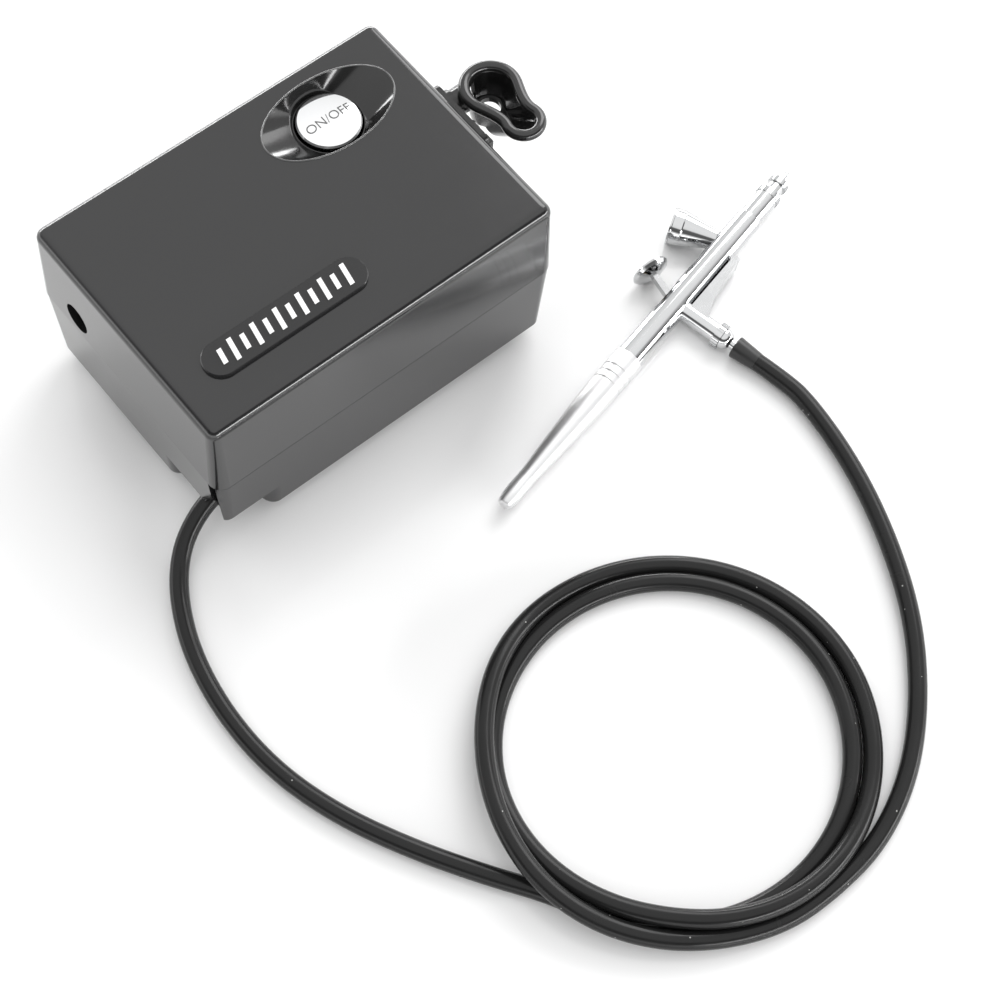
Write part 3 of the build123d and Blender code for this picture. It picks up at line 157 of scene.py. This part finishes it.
class CompressorStage(bpy.types.PropertyGroup):
    lens: FloatProperty(
        name="Lens", description="Focal length on a 36 mm sensor", default=81.79, min=20, max=300)
    floor_colour: FloatVectorProperty(
        name="Floor", description="Colour of the table", subtype="COLOR", size=3, min=0, max=1,
        default=(0.9, 0.9, 0.9))
    sky: FloatProperty(name="Sky", description="Strength of the light all round", default=0.95, min=0, max=5)


# ---------------------------------------------------------------- shader node groups


def node_group(name, inputs, outputs):
    """An empty shader node group with its sockets, its input node and its output node."""
    tree = bpy.data.node_groups.new(name, "ShaderNodeTree")
    for label, kind, value in inputs:
        socket = tree.interface.new_socket(label, in_out="INPUT", socket_type=kind)
        socket.default_value = value
    for label, kind in outputs:
        tree.interface.new_socket(label, in_out="OUTPUT", socket_type=kind)
    return tree, tree.nodes.new("NodeGroupInput"), tree.nodes.new("NodeGroupOutput")


def add_node(tree, kind, settings=None, **values):
    """A node with its settings, and its input sockets linked or filled by name."""
    node = tree.nodes.new(kind)
    for key, value in (settings or {}).items():
        setattr(node, key, value)
    for key, value in values.items():
        numbered = key[0] == "n" and key[1:].isdigit()
        socket = node.inputs[int(key[1:]) if numbered else key.replace("_", " ")]
        if isinstance(value, bpy.types.NodeSocket):
            tree.links.new(value, socket)
        else:
            socket.default_value = value
    return node


def maths(tree, operation, first, second=None, clamp=False):
    values = {"n0": first}
    if second is not None:
        values["n1"] = second
    return add_node(tree, "ShaderNodeMath", {"operation": operation, "use_clamp": clamp}, **values).outputs[0]


def build_grain_group():
    """Fine moulded or ground texture as a height."""
    tree, given, result = node_group(
        "Fine grain",
        [("Scale", "NodeSocketFloat", 3000.0), ("Coarse share", "NodeSocketFloat", 0.3)],
        [("Height", "NodeSocketFloat")])
    place = add_node(tree, "ShaderNodeTexCoord").outputs["Object"]
    fine = add_node(
        tree, "ShaderNodeTexNoise", Vector=place, Scale=given.outputs["Scale"], Detail=3.0)
    wide = maths(tree, "MULTIPLY", given.outputs["Scale"], 0.12)
    coarse = add_node(tree, "ShaderNodeTexNoise", Vector=place, Scale=wide, Detail=2.0)
    kept = maths(tree, "MULTIPLY", coarse.outputs["Fac"], given.outputs["Coarse share"])
    tree.links.new(maths(tree, "ADD", fine.outputs["Fac"], kept), result.inputs["Height"])
    return tree


def build_smudge_group():
    """Slow roughness variation, as from handling and uneven moulding."""
    tree, given, result = node_group(
        "Smudges",
        [("Scale", "NodeSocketFloat", 60.0), ("Low", "NodeSocketFloat", 0.2),
         ("High", "NodeSocketFloat", 0.3)],
        [("Roughness", "NodeSocketFloat")])
    place = add_node(tree, "ShaderNodeTexCoord").outputs["Object"]
    cloud = add_node(tree, "ShaderNodeTexNoise", Vector=place, Scale=given.outputs["Scale"], Detail=4.0,
                     Roughness=0.6, Distortion=0.4)
    spread = add_node(tree, "ShaderNodeMapRange", n0=cloud.outputs["Fac"], n1=0.35, n2=0.65,
                      n3=given.outputs["Low"], n4=given.outputs["High"])
    tree.links.new(spread.outputs[0], result.inputs["Roughness"])
    return tree


def build_dust_group():
    """Sparse pale specks that settle on dark pieces, as a mask."""
    tree, given, result = node_group(
        "Dust specks",
        [("Scale", "NodeSocketFloat", 450.0), ("Size", "NodeSocketFloat", 0.12),
         ("Share", "NodeSocketFloat", 0.1)],
        [("Mask", "NodeSocketFloat")])
    place = add_node(tree, "ShaderNodeTexCoord").outputs["Object"]
    cells = add_node(tree, "ShaderNodeTexVoronoi", Vector=place, Scale=given.outputs["Scale"])
    split = add_node(tree, "ShaderNodeSeparateColor", Color=cells.outputs["Color"])
    near = maths(tree, "LESS_THAN", cells.outputs["Distance"], given.outputs["Size"])
    chosen = maths(tree, "LESS_THAN", split.outputs[0], given.outputs["Share"])
    tree.links.new(maths(tree, "MULTIPLY", near, chosen), result.inputs["Mask"])
    return tree


def build_turning_group():
    """Fine rings round an axis, as a lathe leaves them, as a height."""
    tree, given, result = node_group(
        "Turning marks",
        [("Axis", "NodeSocketVector", (1, 0, 0)), ("Rings per metre", "NodeSocketFloat", 3000.0),
         ("Noise", "NodeSocketFloat", 0.5)],
        [("Height", "NodeSocketFloat")])
    place = add_node(tree, "ShaderNodeTexCoord").outputs["Object"]
    station = add_node(tree, "ShaderNodeVectorMath", {"operation": "DOT_PRODUCT"}, n0=place,
                       n1=given.outputs["Axis"]).outputs["Value"]
    rings = maths(tree, "MULTIPLY", station, given.outputs["Rings per metre"])
    phase = maths(tree, "MULTIPLY", rings, 6.2832)
    wave = maths(tree, "SINE", phase)
    line = add_node(tree, "ShaderNodeCombineXYZ", X=maths(tree, "MULTIPLY", phase, 0.3))
    uneven = add_node(tree, "ShaderNodeTexNoise", Vector=line.outputs[0], Scale=1.0, Detail=4.0)
    rough = maths(tree, "MULTIPLY", uneven.outputs["Fac"], given.outputs["Noise"])
    tree.links.new(maths(tree, "ADD", maths(tree, "MULTIPLY", wave, 0.5), rough), result.inputs["Height"])
    return tree


GROUP_BUILDERS = {
    "Fine grain": build_grain_group,
    "Smudges": build_smudge_group,
    "Dust specks": build_dust_group,
    "Turning marks": build_turning_group,
}


def shared_group(name):
    return bpy.data.node_groups.get(name) or GROUP_BUILDERS[name]()


def place_group(material, name, **values):
    """The shared group in a material, with this material's own values."""
    tree = material.node_tree
    node = tree.nodes.new("ShaderNodeGroup")
    node.node_tree = shared_group(name)
    for key, value in values.items():
        socket = node.inputs[key.replace("_", " ")]
        if isinstance(value, bpy.types.NodeSocket):
            tree.links.new(value, socket)
        else:
            socket.default_value = value
    return node.outputs[0]


# ---------------------------------------------------------------- materials


def base_material(name, colour, roughness, metallic=0.0, coat=0.0, ior=1.5):
    """A new Principled material. Returns it with its shader node."""
    material = bpy.data.materials.new(name)
    material.use_nodes = True
    shader = material.node_tree.nodes["Principled BSDF"]
    shader.inputs["Base Color"].default_value = (*colour[:3], 1)
    shader.inputs["Roughness"].default_value = roughness
    shader.inputs["Metallic"].default_value = metallic
    shader.inputs["Coat Weight"].default_value = coat
    shader.inputs["Coat Roughness"].default_value = COAT_ROUGHNESS
    shader.inputs["IOR"].default_value = ior
    return material, shader


def add_bump(material, shader, height, distance, strength=1.0):
    bump = add_node(material.node_tree, "ShaderNodeBump", Height=height, Distance=distance, Strength=strength)
    material.node_tree.links.new(bump.outputs[0], shader.inputs["Normal"])


def colour_noise(material, shader, colour, amount, scale):
    """Slight uneven tone over a surface."""
    tree = material.node_tree
    place = add_node(tree, "ShaderNodeTexCoord").outputs["Object"]
    cloud = add_node(tree, "ShaderNodeTexNoise", Vector=place, Scale=scale, Detail=3.0)
    dark = tuple(part * (1 - amount) for part in colour[:3]) + (1,)
    light = tuple(min(1, part * (1 + amount)) for part in colour[:3]) + (1,)
    mixed = add_node(tree, "ShaderNodeMix", {"data_type": "RGBA"}, n0=cloud.outputs["Fac"], n6=dark, n7=light)
    tree.links.new(mixed.outputs[2], shader.inputs["Base Color"])
    return mixed.outputs[2]


def dusty(material, shader, colour_socket, dust_colour, **values):
    """Pale specks laid over the base colour."""
    tree = material.node_tree
    mask = place_group(material, "Dust specks", **values)
    mixed = add_node(tree, "ShaderNodeMix", {"data_type": "RGBA"}, n0=mask, n6=colour_socket,
                     n7=(*dust_colour, 1))
    tree.links.new(mixed.outputs[2], shader.inputs["Base Color"])


def plastic(name, colour, low, high, grain_scale=2600.0, grain_depth=0.000012, coat=0.0, ior=1.5):
    material, shader = base_material(name, colour, low, coat=coat, ior=ior)
    colour_noise(material, shader, colour, 0.06, 35.0)
    material.node_tree.links.new(
        place_group(material, "Smudges", Scale=45.0, Low=low, High=high), shader.inputs["Roughness"])
    add_bump(material, shader, place_group(material, "Fine grain", Scale=grain_scale), grain_depth)
    return material


def metal(name, colour, low, high, axis=None, rings=3500.0, depth=0.000004, smudge_scale=90.0):
    material, shader = base_material(name, colour, low, metallic=1.0)
    colour_noise(material, shader, colour, 0.02, 60.0)
    material.node_tree.links.new(
        place_group(material, "Smudges", Scale=smudge_scale, Low=low, High=high), shader.inputs["Roughness"])
    if axis is not None:
        marks = place_group(material, "Turning marks", Axis=tuple(axis), Rings_per_metre=rings)
        add_bump(material, shader, marks, depth)
    else:
        add_bump(material, shader, place_group(material, "Fine grain", Scale=1800.0), depth)
    return material


def rubber(name, colour, low, high, specks=0.1, grain_depth=0.00001, ior=1.5):
    material, shader = base_material(name, colour, low, ior=ior)
    toned = colour_noise(material, shader, colour, 0.15, 50.0)
    dusty(material, shader, toned, (0.35, 0.35, 0.34), Scale=420.0, Size=0.1, Share=specks)
    material.node_tree.links.new(
        place_group(material, "Smudges", Scale=70.0, Low=low, High=high), shader.inputs["Roughness"])
    add_bump(material, shader, place_group(material, "Fine grain", Scale=1500.0), grain_depth)
    return material


def finish_nodes(material, *nodes):
    """Gives CAD nodes a material in place of the plain one that they came with."""
    for name in nodes:
        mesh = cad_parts[name].data
        mesh.materials.clear()
        mesh.materials.append(material)


def mesh_object(name, mesh, material, body):
    """A finished piece: its mesh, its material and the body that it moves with."""
    piece = bpy.data.objects.new(name, mesh)
    bpy.context.scene.collection.objects.link(piece)
    mesh.materials.clear()
    mesh.materials.append(material)
    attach(piece, body)
    return piece


def settings():
    return bpy.context.scene.compressor_finish


# ---------------------------------------------------------------- operators


class BuildCase(bpy.types.Operator):
    """Finish the lid, the base, the feet and the case screws"""
    bl_idname = "compressor.build_case"
    bl_label = "Case"

    def execute(self, context):
        look = settings()
        top = plastic("case_top_plastic", look.case_colour, look.case_roughness - 0.02,
                      look.case_roughness + 0.02, coat=0.35)
        base = plastic("case_base_plastic", look.case_colour, look.case_roughness, look.case_roughness + 0.05)
        finish_nodes(top, "lid_shell")
        finish_nodes(base, "base_shell")
        finish_nodes(rubber("foot_rubber", (0.02, 0.02, 0.02), 0.55, 0.7, 0.04, 0.00003), "rubber_feet")
        finish_nodes(metal("screw_steel", (0.5, 0.5, 0.5), 0.28, 0.4, (0, 0, 1)), "case_screws")
        return {"FINISHED"}


def oval_bead(name, middle, half_sizes, radius, count=96, sides=8):
    """A thin round bead along an oval, as a mesh."""
    shape = bmesh.new()
    rows = []
    for index in range(count):
        turn = math.tau * index / count
        outward = Vector((math.cos(turn) * half_sizes[1], math.sin(turn) * half_sizes[0], 0)).normalized()
        centre = Vector(middle) + Vector((math.cos(turn) * half_sizes[0], math.sin(turn) * half_sizes[1], 0))
        row = []
        for side in range(sides):
            lean = math.tau * side / sides
            row.append(shape.verts.new(
                centre + outward * (radius * math.cos(lean)) + Vector((0, 0, radius * math.sin(lean)))))
        rows.append(row)
    for index, row in enumerate(rows):
        beyond = rows[(index + 1) % count]
        for side in range(sides):
            after = (side + 1) % sides
            face = shape.faces.new((row[side], beyond[side], beyond[after], row[after]))
            face.smooth = True
    bmesh.ops.recalc_face_normals(shape, faces=shape.faces[:])
    mesh = bpy.data.meshes.new(name)
    shape.to_mesh(mesh)
    shape.free()
    return mesh


def dome_height(x, y):
    """Top of the push button's dome, in millimetres, at a distance from its axis."""
    rise = BUTTON_CROWN - BUTTON_RIM
    radius = (DOME_REACH**2 + rise**2) / (2 * rise)
    return BUTTON_CROWN - radius + math.sqrt(radius**2 - x * x - y * y)


class BuildButton(bpy.types.Operator):
    """Finish the dish and the push button, and letter the button"""
    bl_idname = "compressor.build_button"
    bl_label = "Dish and push button"

    def execute(self, context):
        look = settings()
        words = context.scene.compressor_lettering
        finish_nodes(plastic("dish_plastic", look.gloss_colour, 0.1, 0.16, 1500.0, 0.000003, coat=0.1),
                     "button_dish")
        finish_nodes(metal("button_plating", look.button_colour, 0.05, 0.09, None, depth=0.000001),
                     "power_button")
        dish_low, dish_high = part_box("button_dish")
        dish_middle = (dish_low + dish_high) / 2
        bead = oval_bead("dish_bead", (dish_middle.x, dish_middle.y, dish_high.z - BEAD_RADIUS * 0.4),
                         (OVAL_LONG - BEAD_INSET, OVAL_SHORT - BEAD_INSET), BEAD_RADIUS)
        # The bead is the dish's moulded mouth edge and catches real highlights; its grey, lighter than the
        # dish's black, is a painted highlight along the rim.
        mesh_object("dish_bead", bead, plastic("bead_gloss_painted_highlight", (0.05, 0.05, 0.05), 0.1, 0.16, coat=1.0), CASE)
        inner = plastic("switch_plastic", (0.02, 0.02, 0.02), 0.4, 0.55)
        finish_nodes(inner, "switch_body", "switch_frame", "switch_plunger")
        finish_nodes(metal("spring_steel", (0.55, 0.55, 0.55), 0.25, 0.35), "button_spring", "needle_spring",
                     "valve_spring")
        low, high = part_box("power_button")
        middle = (low + high) / 2
        text = bpy.data.curves.new("button_words", "FONT")
        text.body = words.text
        text.size = words.height / 0.7
        text.align_x, text.align_y = "CENTER", "CENTER"
        text.offset = -0.00005
        text.resolution_u = 6
        holder = bpy.data.objects.new("button_words", text)
        context.scene.collection.objects.link(holder)
        context.view_layer.update()
        mesh = bpy.data.meshes.new_from_object(holder.evaluated_get(context.evaluated_depsgraph_get()))
        bpy.data.objects.remove(holder)
        shape = bmesh.new()
        shape.from_mesh(mesh)
        bmesh.ops.triangulate(shape, faces=shape.faces[:])
        long_edges = [edge for edge in shape.edges if edge.calc_length() > 0.0006]
        bmesh.ops.subdivide_edges(shape, edges=long_edges, cuts=3)
        bmesh.ops.triangulate(shape, faces=shape.faces[:])
        made = bmesh.ops.extrude_face_region(shape, geom=shape.faces[:])
        raised = {item for item in made["geom"] if isinstance(item, bmesh.types.BMVert)}
        for corner in shape.verts:
            height = dome_height(corner.co.x / MM, corner.co.y / MM) * MM
            corner.co.z = height + (LETTER_RAISE if corner in raised else -LETTER_SINK)
            corner.co.x += middle.x
            corner.co.y += middle.y
        bmesh.ops.recalc_face_normals(shape, faces=shape.faces[:])
        shape.to_mesh(mesh)
        shape.free()
        ink = plastic("button_ink", (0.11, 0.11, 0.11), 0.4, 0.5)
        mesh_object("button_lettering", mesh, ink, "push_button")
        return {"FINISHED"}


class BuildBadge(bpy.types.Operator):
    """Finish the plain plaque and its slanted bars"""
    bl_idname = "compressor.build_badge"
    bl_label = "Badge"

    def execute(self, context):
        look = settings()
        finish_nodes(plastic("plaque_plastic", look.case_colour, 0.12, 0.2), "badge_plate")
        finish_nodes(metal("bar_plating", (0.95, 0.95, 0.95), 0.12, 0.2, None, depth=0.000002), "badge_bars")
        return {"FINISHED"}


class BuildInlet(bpy.types.Operator):
    """Finish the power inlet, its board and the wires"""
    bl_idname = "compressor.build_inlet"
    bl_label = "Power inlet"

    def execute(self, context):
        finish_nodes(plastic("inlet_plastic", (0.015, 0.015, 0.015), 0.35, 0.5), "dc_jack")
        finish_nodes(plastic("board_laminate", (0.02, 0.14, 0.05), 0.3, 0.45, 900.0, 0.00003), "power_board")
        finish_nodes(plastic("red_jacket", (0.45, 0.02, 0.02), 0.4, 0.5), "wire_supply")
        finish_nodes(plastic("black_jacket", (0.02, 0.02, 0.02), 0.4, 0.5), "wire_motor")
        return {"FINISHED"}


class BuildWorks(bpy.types.Operator):
    """Finish the motor and the pump inside the case"""
    bl_idname = "compressor.build_works"
    bl_label = "Motor and pump"

    def execute(self, context):
        steel = metal("plated_steel", (0.55, 0.55, 0.56), 0.3, 0.42, (1, 0, 0), 2500.0)
        finish_nodes(steel, "motor_can", "motor_shaft", "pump_bracket", "valve_plate")
        finish_nodes(metal("armature_steel", (0.32, 0.31, 0.3), 0.45, 0.6, (1, 0, 0), 2000.0, 0.00002),
                     "armature")
        finish_nodes(metal("magnet_grey", (0.1, 0.1, 0.1), 0.6, 0.75, None, depth=0.00003), "motor_magnets")
        finish_nodes(metal("works_brass", (0.72, 0.5, 0.2), 0.25, 0.38, (1, 0, 0)), "motor_bushes",
                     "eccentric", "hose_joiner")
        finish_nodes(plastic("works_nylon", (0.5, 0.5, 0.47), 0.45, 0.6), "motor_end_cap", "connecting_rod")
        finish_nodes(metal("cast_aluminium", (0.6, 0.6, 0.61), 0.4, 0.55, None, depth=0.00003),
                     "pump_cylinder", "pump_head", "piston")
        finish_nodes(metal("works_screws", (0.45, 0.45, 0.45), 0.3, 0.4, (0, 0, 1)), "bracket_screws",
                     "head_screws")
        finish_nodes(rubber("gasket_rubber", (0.02, 0.02, 0.02), 0.6, 0.75, 0.02), "head_gasket",
                     "hose_grommet")
        finish_nodes(plastic("filter_felt", (0.6, 0.6, 0.56), 0.85, 0.95, 700.0, 0.0002), "inlet_filter")
        finish_nodes(rubber("inner_tube_rubber", (0.03, 0.03, 0.03), 0.35, 0.45, 0.05), "air_tube")
        return {"FINISHED"}


class BuildHolder(bpy.types.Operator):
    """Finish the airbrush holder and its bracket"""
    bl_idname = "compressor.build_holder"
    bl_label = "Airbrush holder"

    def execute(self, context):
        look = settings()
        finish_nodes(plastic("holder_plastic", look.gloss_colour, 0.1, 0.16, 1800.0, 0.000006, coat=0.3),
                     "holder_cradle")
        finish_nodes(plastic("bracket_plastic", look.gloss_colour, 0.15, 0.25), "holder_bracket")
        finish_nodes(metal("holder_screw_steel", (0.4, 0.4, 0.4), 0.2, 0.3, (1, 0, 0)), "holder_screw",
                     "holder_pivot")
        return {"FINISHED"}


def coil_points():
    """Control points of the coil's turns: radius and height blended between the stated angles."""
    scale = 1 / math.cos(math.radians(COIL_STEP / 2))
    first, last = COIL_TURNS[0][0], COIL_TURNS[-1][0]
    count = round((last - first) / COIL_STEP)
    points = []
    for index in range(count + 1):
        angle = first + (last - first) * index / count
        before = max(row for row in COIL_TURNS if row[0] <= angle + 1e-6)
        after = min(row for row in COIL_TURNS if row[0] >= angle - 1e-6)
        share = 0 if after[0] == before[0] else (angle - before[0]) / (after[0] - before[0])
        radius = (before[1] + (after[1] - before[1]) * share) * scale
        height = before[2] + (after[2] - before[2]) * share
        turn = math.radians(angle)
        points.append((
            COIL_CENTRE[0] + radius * math.cos(turn), COIL_CENTRE[1] + radius * math.sin(turn), height))
    return points


class BuildHose(bpy.types.Operator):
    """Lay the hose from the case through its coil to the airbrush"""
    bl_idname = "compressor.build_hose"
    bl_label = "Hose"

    def execute(self, context):
        hose = context.scene.compressor_hose
        points = HOSE_TAIL + coil_points() + HOSE_LEAD
        curve = bpy.data.curves.new("air_hose", "CURVE")
        curve.dimensions = "3D"
        curve.bevel_depth = hose.diameter / 2
        curve.bevel_resolution = 8
        curve.resolution_u = 10
        curve.use_fill_caps = True
        spline = curve.splines.new("NURBS")
        spline.points.add(len(points) - 1)
        for control, point in zip(spline.points, points):
            control.co = (point[0] * MM, point[1] * MM, point[2] * MM, 1)
        spline.order_u = 3
        spline.use_endpoint_u = True
        curve.materials.append(rubber("hose_rubber", hose.colour, 0.16, 0.28, 0.07, ior=1.33))
        piece = bpy.data.objects.new("air_hose", curve)
        context.scene.collection.objects.link(piece)
        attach(piece, CASE)
        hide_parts("hose_tail", "hose_coil", "hose_lead")
        finish_nodes(rubber("sleeve_rubber", hose.colour, 0.3, 0.42, 0.05), "hose_sleeve")
        return {"FINISHED"}


class BuildAirbrush(bpy.types.Operator):
    """Finish the airbrush's handle, body, cup and nozzle"""
    bl_idname = "compressor.build_airbrush"
    bl_label = "Airbrush body"

    def execute(self, context):
        look = settings()
        chrome = metal("airbrush_plating", look.chrome_colour, 0.05, 0.1, None, depth=0.000001)
        finish_nodes(chrome, "airbrush_body", "colour_cup", "nozzle_cap", "needle_cap", "finger_rest")
        finish_nodes(metal("handle_aluminium", look.handle_colour, 0.36, 0.42, ALONG, 6000.0, 0.000004),
                     "handle")
        finish_nodes(metal("needle_steel", (0.7, 0.7, 0.7), 0.1, 0.15), "needle")
        finish_nodes(metal("chuck_brass", (0.72, 0.5, 0.2), 0.2, 0.3, ALONG), "needle_chuck", "spring_case")
        return {"FINISHED"}


class BuildValve(bpy.types.Operator):
    """Finish the trigger, the air valve and the hose connection"""
    bl_idname = "compressor.build_valve"
    bl_label = "Trigger and valve"

    def execute(self, context):
        look = settings()
        chrome = metal("valve_plating", look.chrome_colour, 0.06, 0.12, None, depth=0.000001)
        finish_nodes(chrome, "trigger", "valve_body", "hose_nut", "hose_stem", "valve_plunger")
        return {"FINISHED"}


def area_light(name, place, target, size, power, colour=(1, 1, 1)):
    light = bpy.data.lights.new(name, "AREA")
    light.shape = "RECTANGLE"
    light.size, light.size_y = size
    light.energy = power
    light.color = colour
    lamp = bpy.data.objects.new(name, light)
    bpy.context.scene.collection.objects.link(lamp)
    lamp.location = place
    lamp.rotation_mode = "QUATERNION"
    lamp.rotation_quaternion = (Vector(target) - Vector(place)).to_track_quat("-Z", "Y")
    return lamp


class BuildStage(bpy.types.Operator):
    """Set up the table, the soft lights and the camera"""
    bl_idname = "compressor.build_stage"
    bl_label = "Table, lights and camera"

    def execute(self, context):
        stage = context.scene.compressor_stage
        mesh = bpy.data.meshes.new("table_top")
        shape = bmesh.new()
        bmesh.ops.create_grid(shape, x_segments=8, y_segments=8, size=3)
        shape.to_mesh(mesh)
        shape.free()
        table = bpy.data.objects.new("table_top", mesh)
        context.scene.collection.objects.link(table)
        material, shader = base_material("table_gloss", stage.floor_colour, 0.12)
        material.node_tree.links.new(
            place_group(material, "Smudges", Scale=6.0, Low=0.1, High=0.16), shader.inputs["Roughness"])
        mesh.materials.append(material)

        world = bpy.data.worlds.new("studio")
        world.use_nodes = True
        context.scene.world = world
        tree = world.node_tree
        place = add_node(tree, "ShaderNodeTexCoord").outputs["Generated"]
        split = add_node(tree, "ShaderNodeSeparateXYZ", Vector=place)
        height = split.outputs[2]
        smooth = {"interpolation_type": "SMOOTHSTEP"}
        dome = add_node(tree, "ShaderNodeMapRange", n0=height, n1=DOME_FROM, n2=DOME_TO, n3=DOME_LOW,
                        n4=DOME_HIGH)
        band = add_node(tree, "ShaderNodeMapRange", smooth, n0=height, n1=HORIZON_TOP, n2=HORIZON_FULL, n3=0.0,
                        n4=HORIZON_GLOW)
        glow = maths(tree, "ADD", dome.outputs[0], band.outputs[0])
        facing = add_node(tree, "ShaderNodeVectorMath", {"operation": "DOT_PRODUCT"}, n0=place,
                          n1=Vector(FLAG_DIRECTION).normalized())
        side = add_node(tree, "ShaderNodeMapRange", smooth, n0=facing.outputs["Value"], n1=FLAG_SIDE_FROM,
                        n2=FLAG_SIDE_TO)
        above = add_node(tree, "ShaderNodeMapRange", smooth, n0=height, n1=FLAG_LOW - FLAG_FADE_LOW, n2=FLAG_LOW)
        below = add_node(tree, "ShaderNodeMapRange", smooth, n0=height, n1=FLAG_HIGH + FLAG_FADE_HIGH,
                         n2=FLAG_HIGH)
        between = maths(tree, "MULTIPLY", above.outputs[0], below.outputs[0])
        flag = maths(tree, "MULTIPLY", between, side.outputs[0])
        shade = maths(tree, "SUBTRACT", 1.0, maths(tree, "MULTIPLY", flag, FLAG_DEPTH))
        level = maths(tree, "MULTIPLY", glow, shade)
        tree.nodes["Background"].inputs["Color"].default_value = (1, 1, 1, 1)
        tree.links.new(maths(tree, "MULTIPLY", level, stage.sky), tree.nodes["Background"].inputs["Strength"])

        area_light("key_soft", (1.15, 0.35, 1.0), (0.0, -0.08, 0), (0.9, 0.9), 10)
        area_light("front_strip", (0.4, -1.2, 0.33), (0.0, -0.05, 0.06), (1.8, 0.16), 12)
        area_light("back_strip", (0.4, 1.2, 0.26), (0.0, 0.05, 0.06), (1.8, 0.16), 12)

        camera = bpy.data.cameras.new("camera")
        camera.sensor_width = 36
        camera.lens = stage.lens
        seen = bpy.data.objects.new("camera", camera)
        context.scene.collection.objects.link(seen)
        azimuth, elevation, roll = (math.radians(angle) for angle in CAMERA_TURN)
        back = Vector((math.sin(azimuth) * math.cos(elevation), -math.cos(azimuth) * math.cos(elevation),
                       math.sin(elevation)))
        side = Vector((0, 0, 1)).cross(back).normalized()
        up = back.cross(side)
        turned_side = side * math.cos(roll) + up * math.sin(roll)
        turned_up = up * math.cos(roll) - side * math.sin(roll)
        place = CAMERA_TARGET + back * CAMERA_DISTANCE
        seen.matrix_world = Matrix.Translation(place) @ Matrix(
            (turned_side, turned_up, back)).transposed().to_4x4()
        context.scene.camera = seen
        context.scene.view_settings.view_transform = "Standard"
        context.scene.view_settings.look = "None"
        return {"FINISHED"}


STEPS = (BuildStage, BuildCase, BuildButton, BuildBadge, BuildInlet, BuildWorks, BuildHolder, BuildHose,
         BuildAirbrush, BuildValve)


class CompressorPanel(bpy.types.Panel):
    """Steps and settings of the airbrush compressor"""
    bl_idname = "VIEW3D_PT_compressor"
    bl_label = "Airbrush compressor"
    bl_space_type = "VIEW_3D"
    bl_region_type = "UI"
    bl_category = "Compressor"

    def draw(self, context):
        scene = context.scene
        for group in (scene.compressor_finish, scene.compressor_hose, scene.compressor_lettering,
                      scene.compressor_stage):
            box = self.layout.box()
            for name in group.__annotations__:
                box.prop(group, name)
        for step in STEPS:
            self.layout.operator(step.bl_idname)


GROUPS = {
    "compressor_finish": CompressorFinish,
    "compressor_hose": CompressorHose,
    "compressor_lettering": CompressorLettering,
    "compressor_stage": CompressorStage,
}


def register():
    for name, group in GROUPS.items():
        bpy.utils.register_class(group)
        setattr(bpy.types.Scene, name, PointerProperty(type=group))
    for item in (*STEPS, CompressorPanel):
        bpy.utils.register_class(item)


def unregister():
    for item in reversed((*STEPS, CompressorPanel)):
        bpy.utils.unregister_class(item)
    for name, group in reversed(GROUPS.items()):
        delattr(bpy.types.Scene, name)
        bpy.utils.unregister_class(group)


def main():
    register()
    for step in STEPS:
        category, name = step.bl_idname.split(".")
        getattr(getattr(bpy.ops, category), name)()


if __name__ == "__main__":
    main()
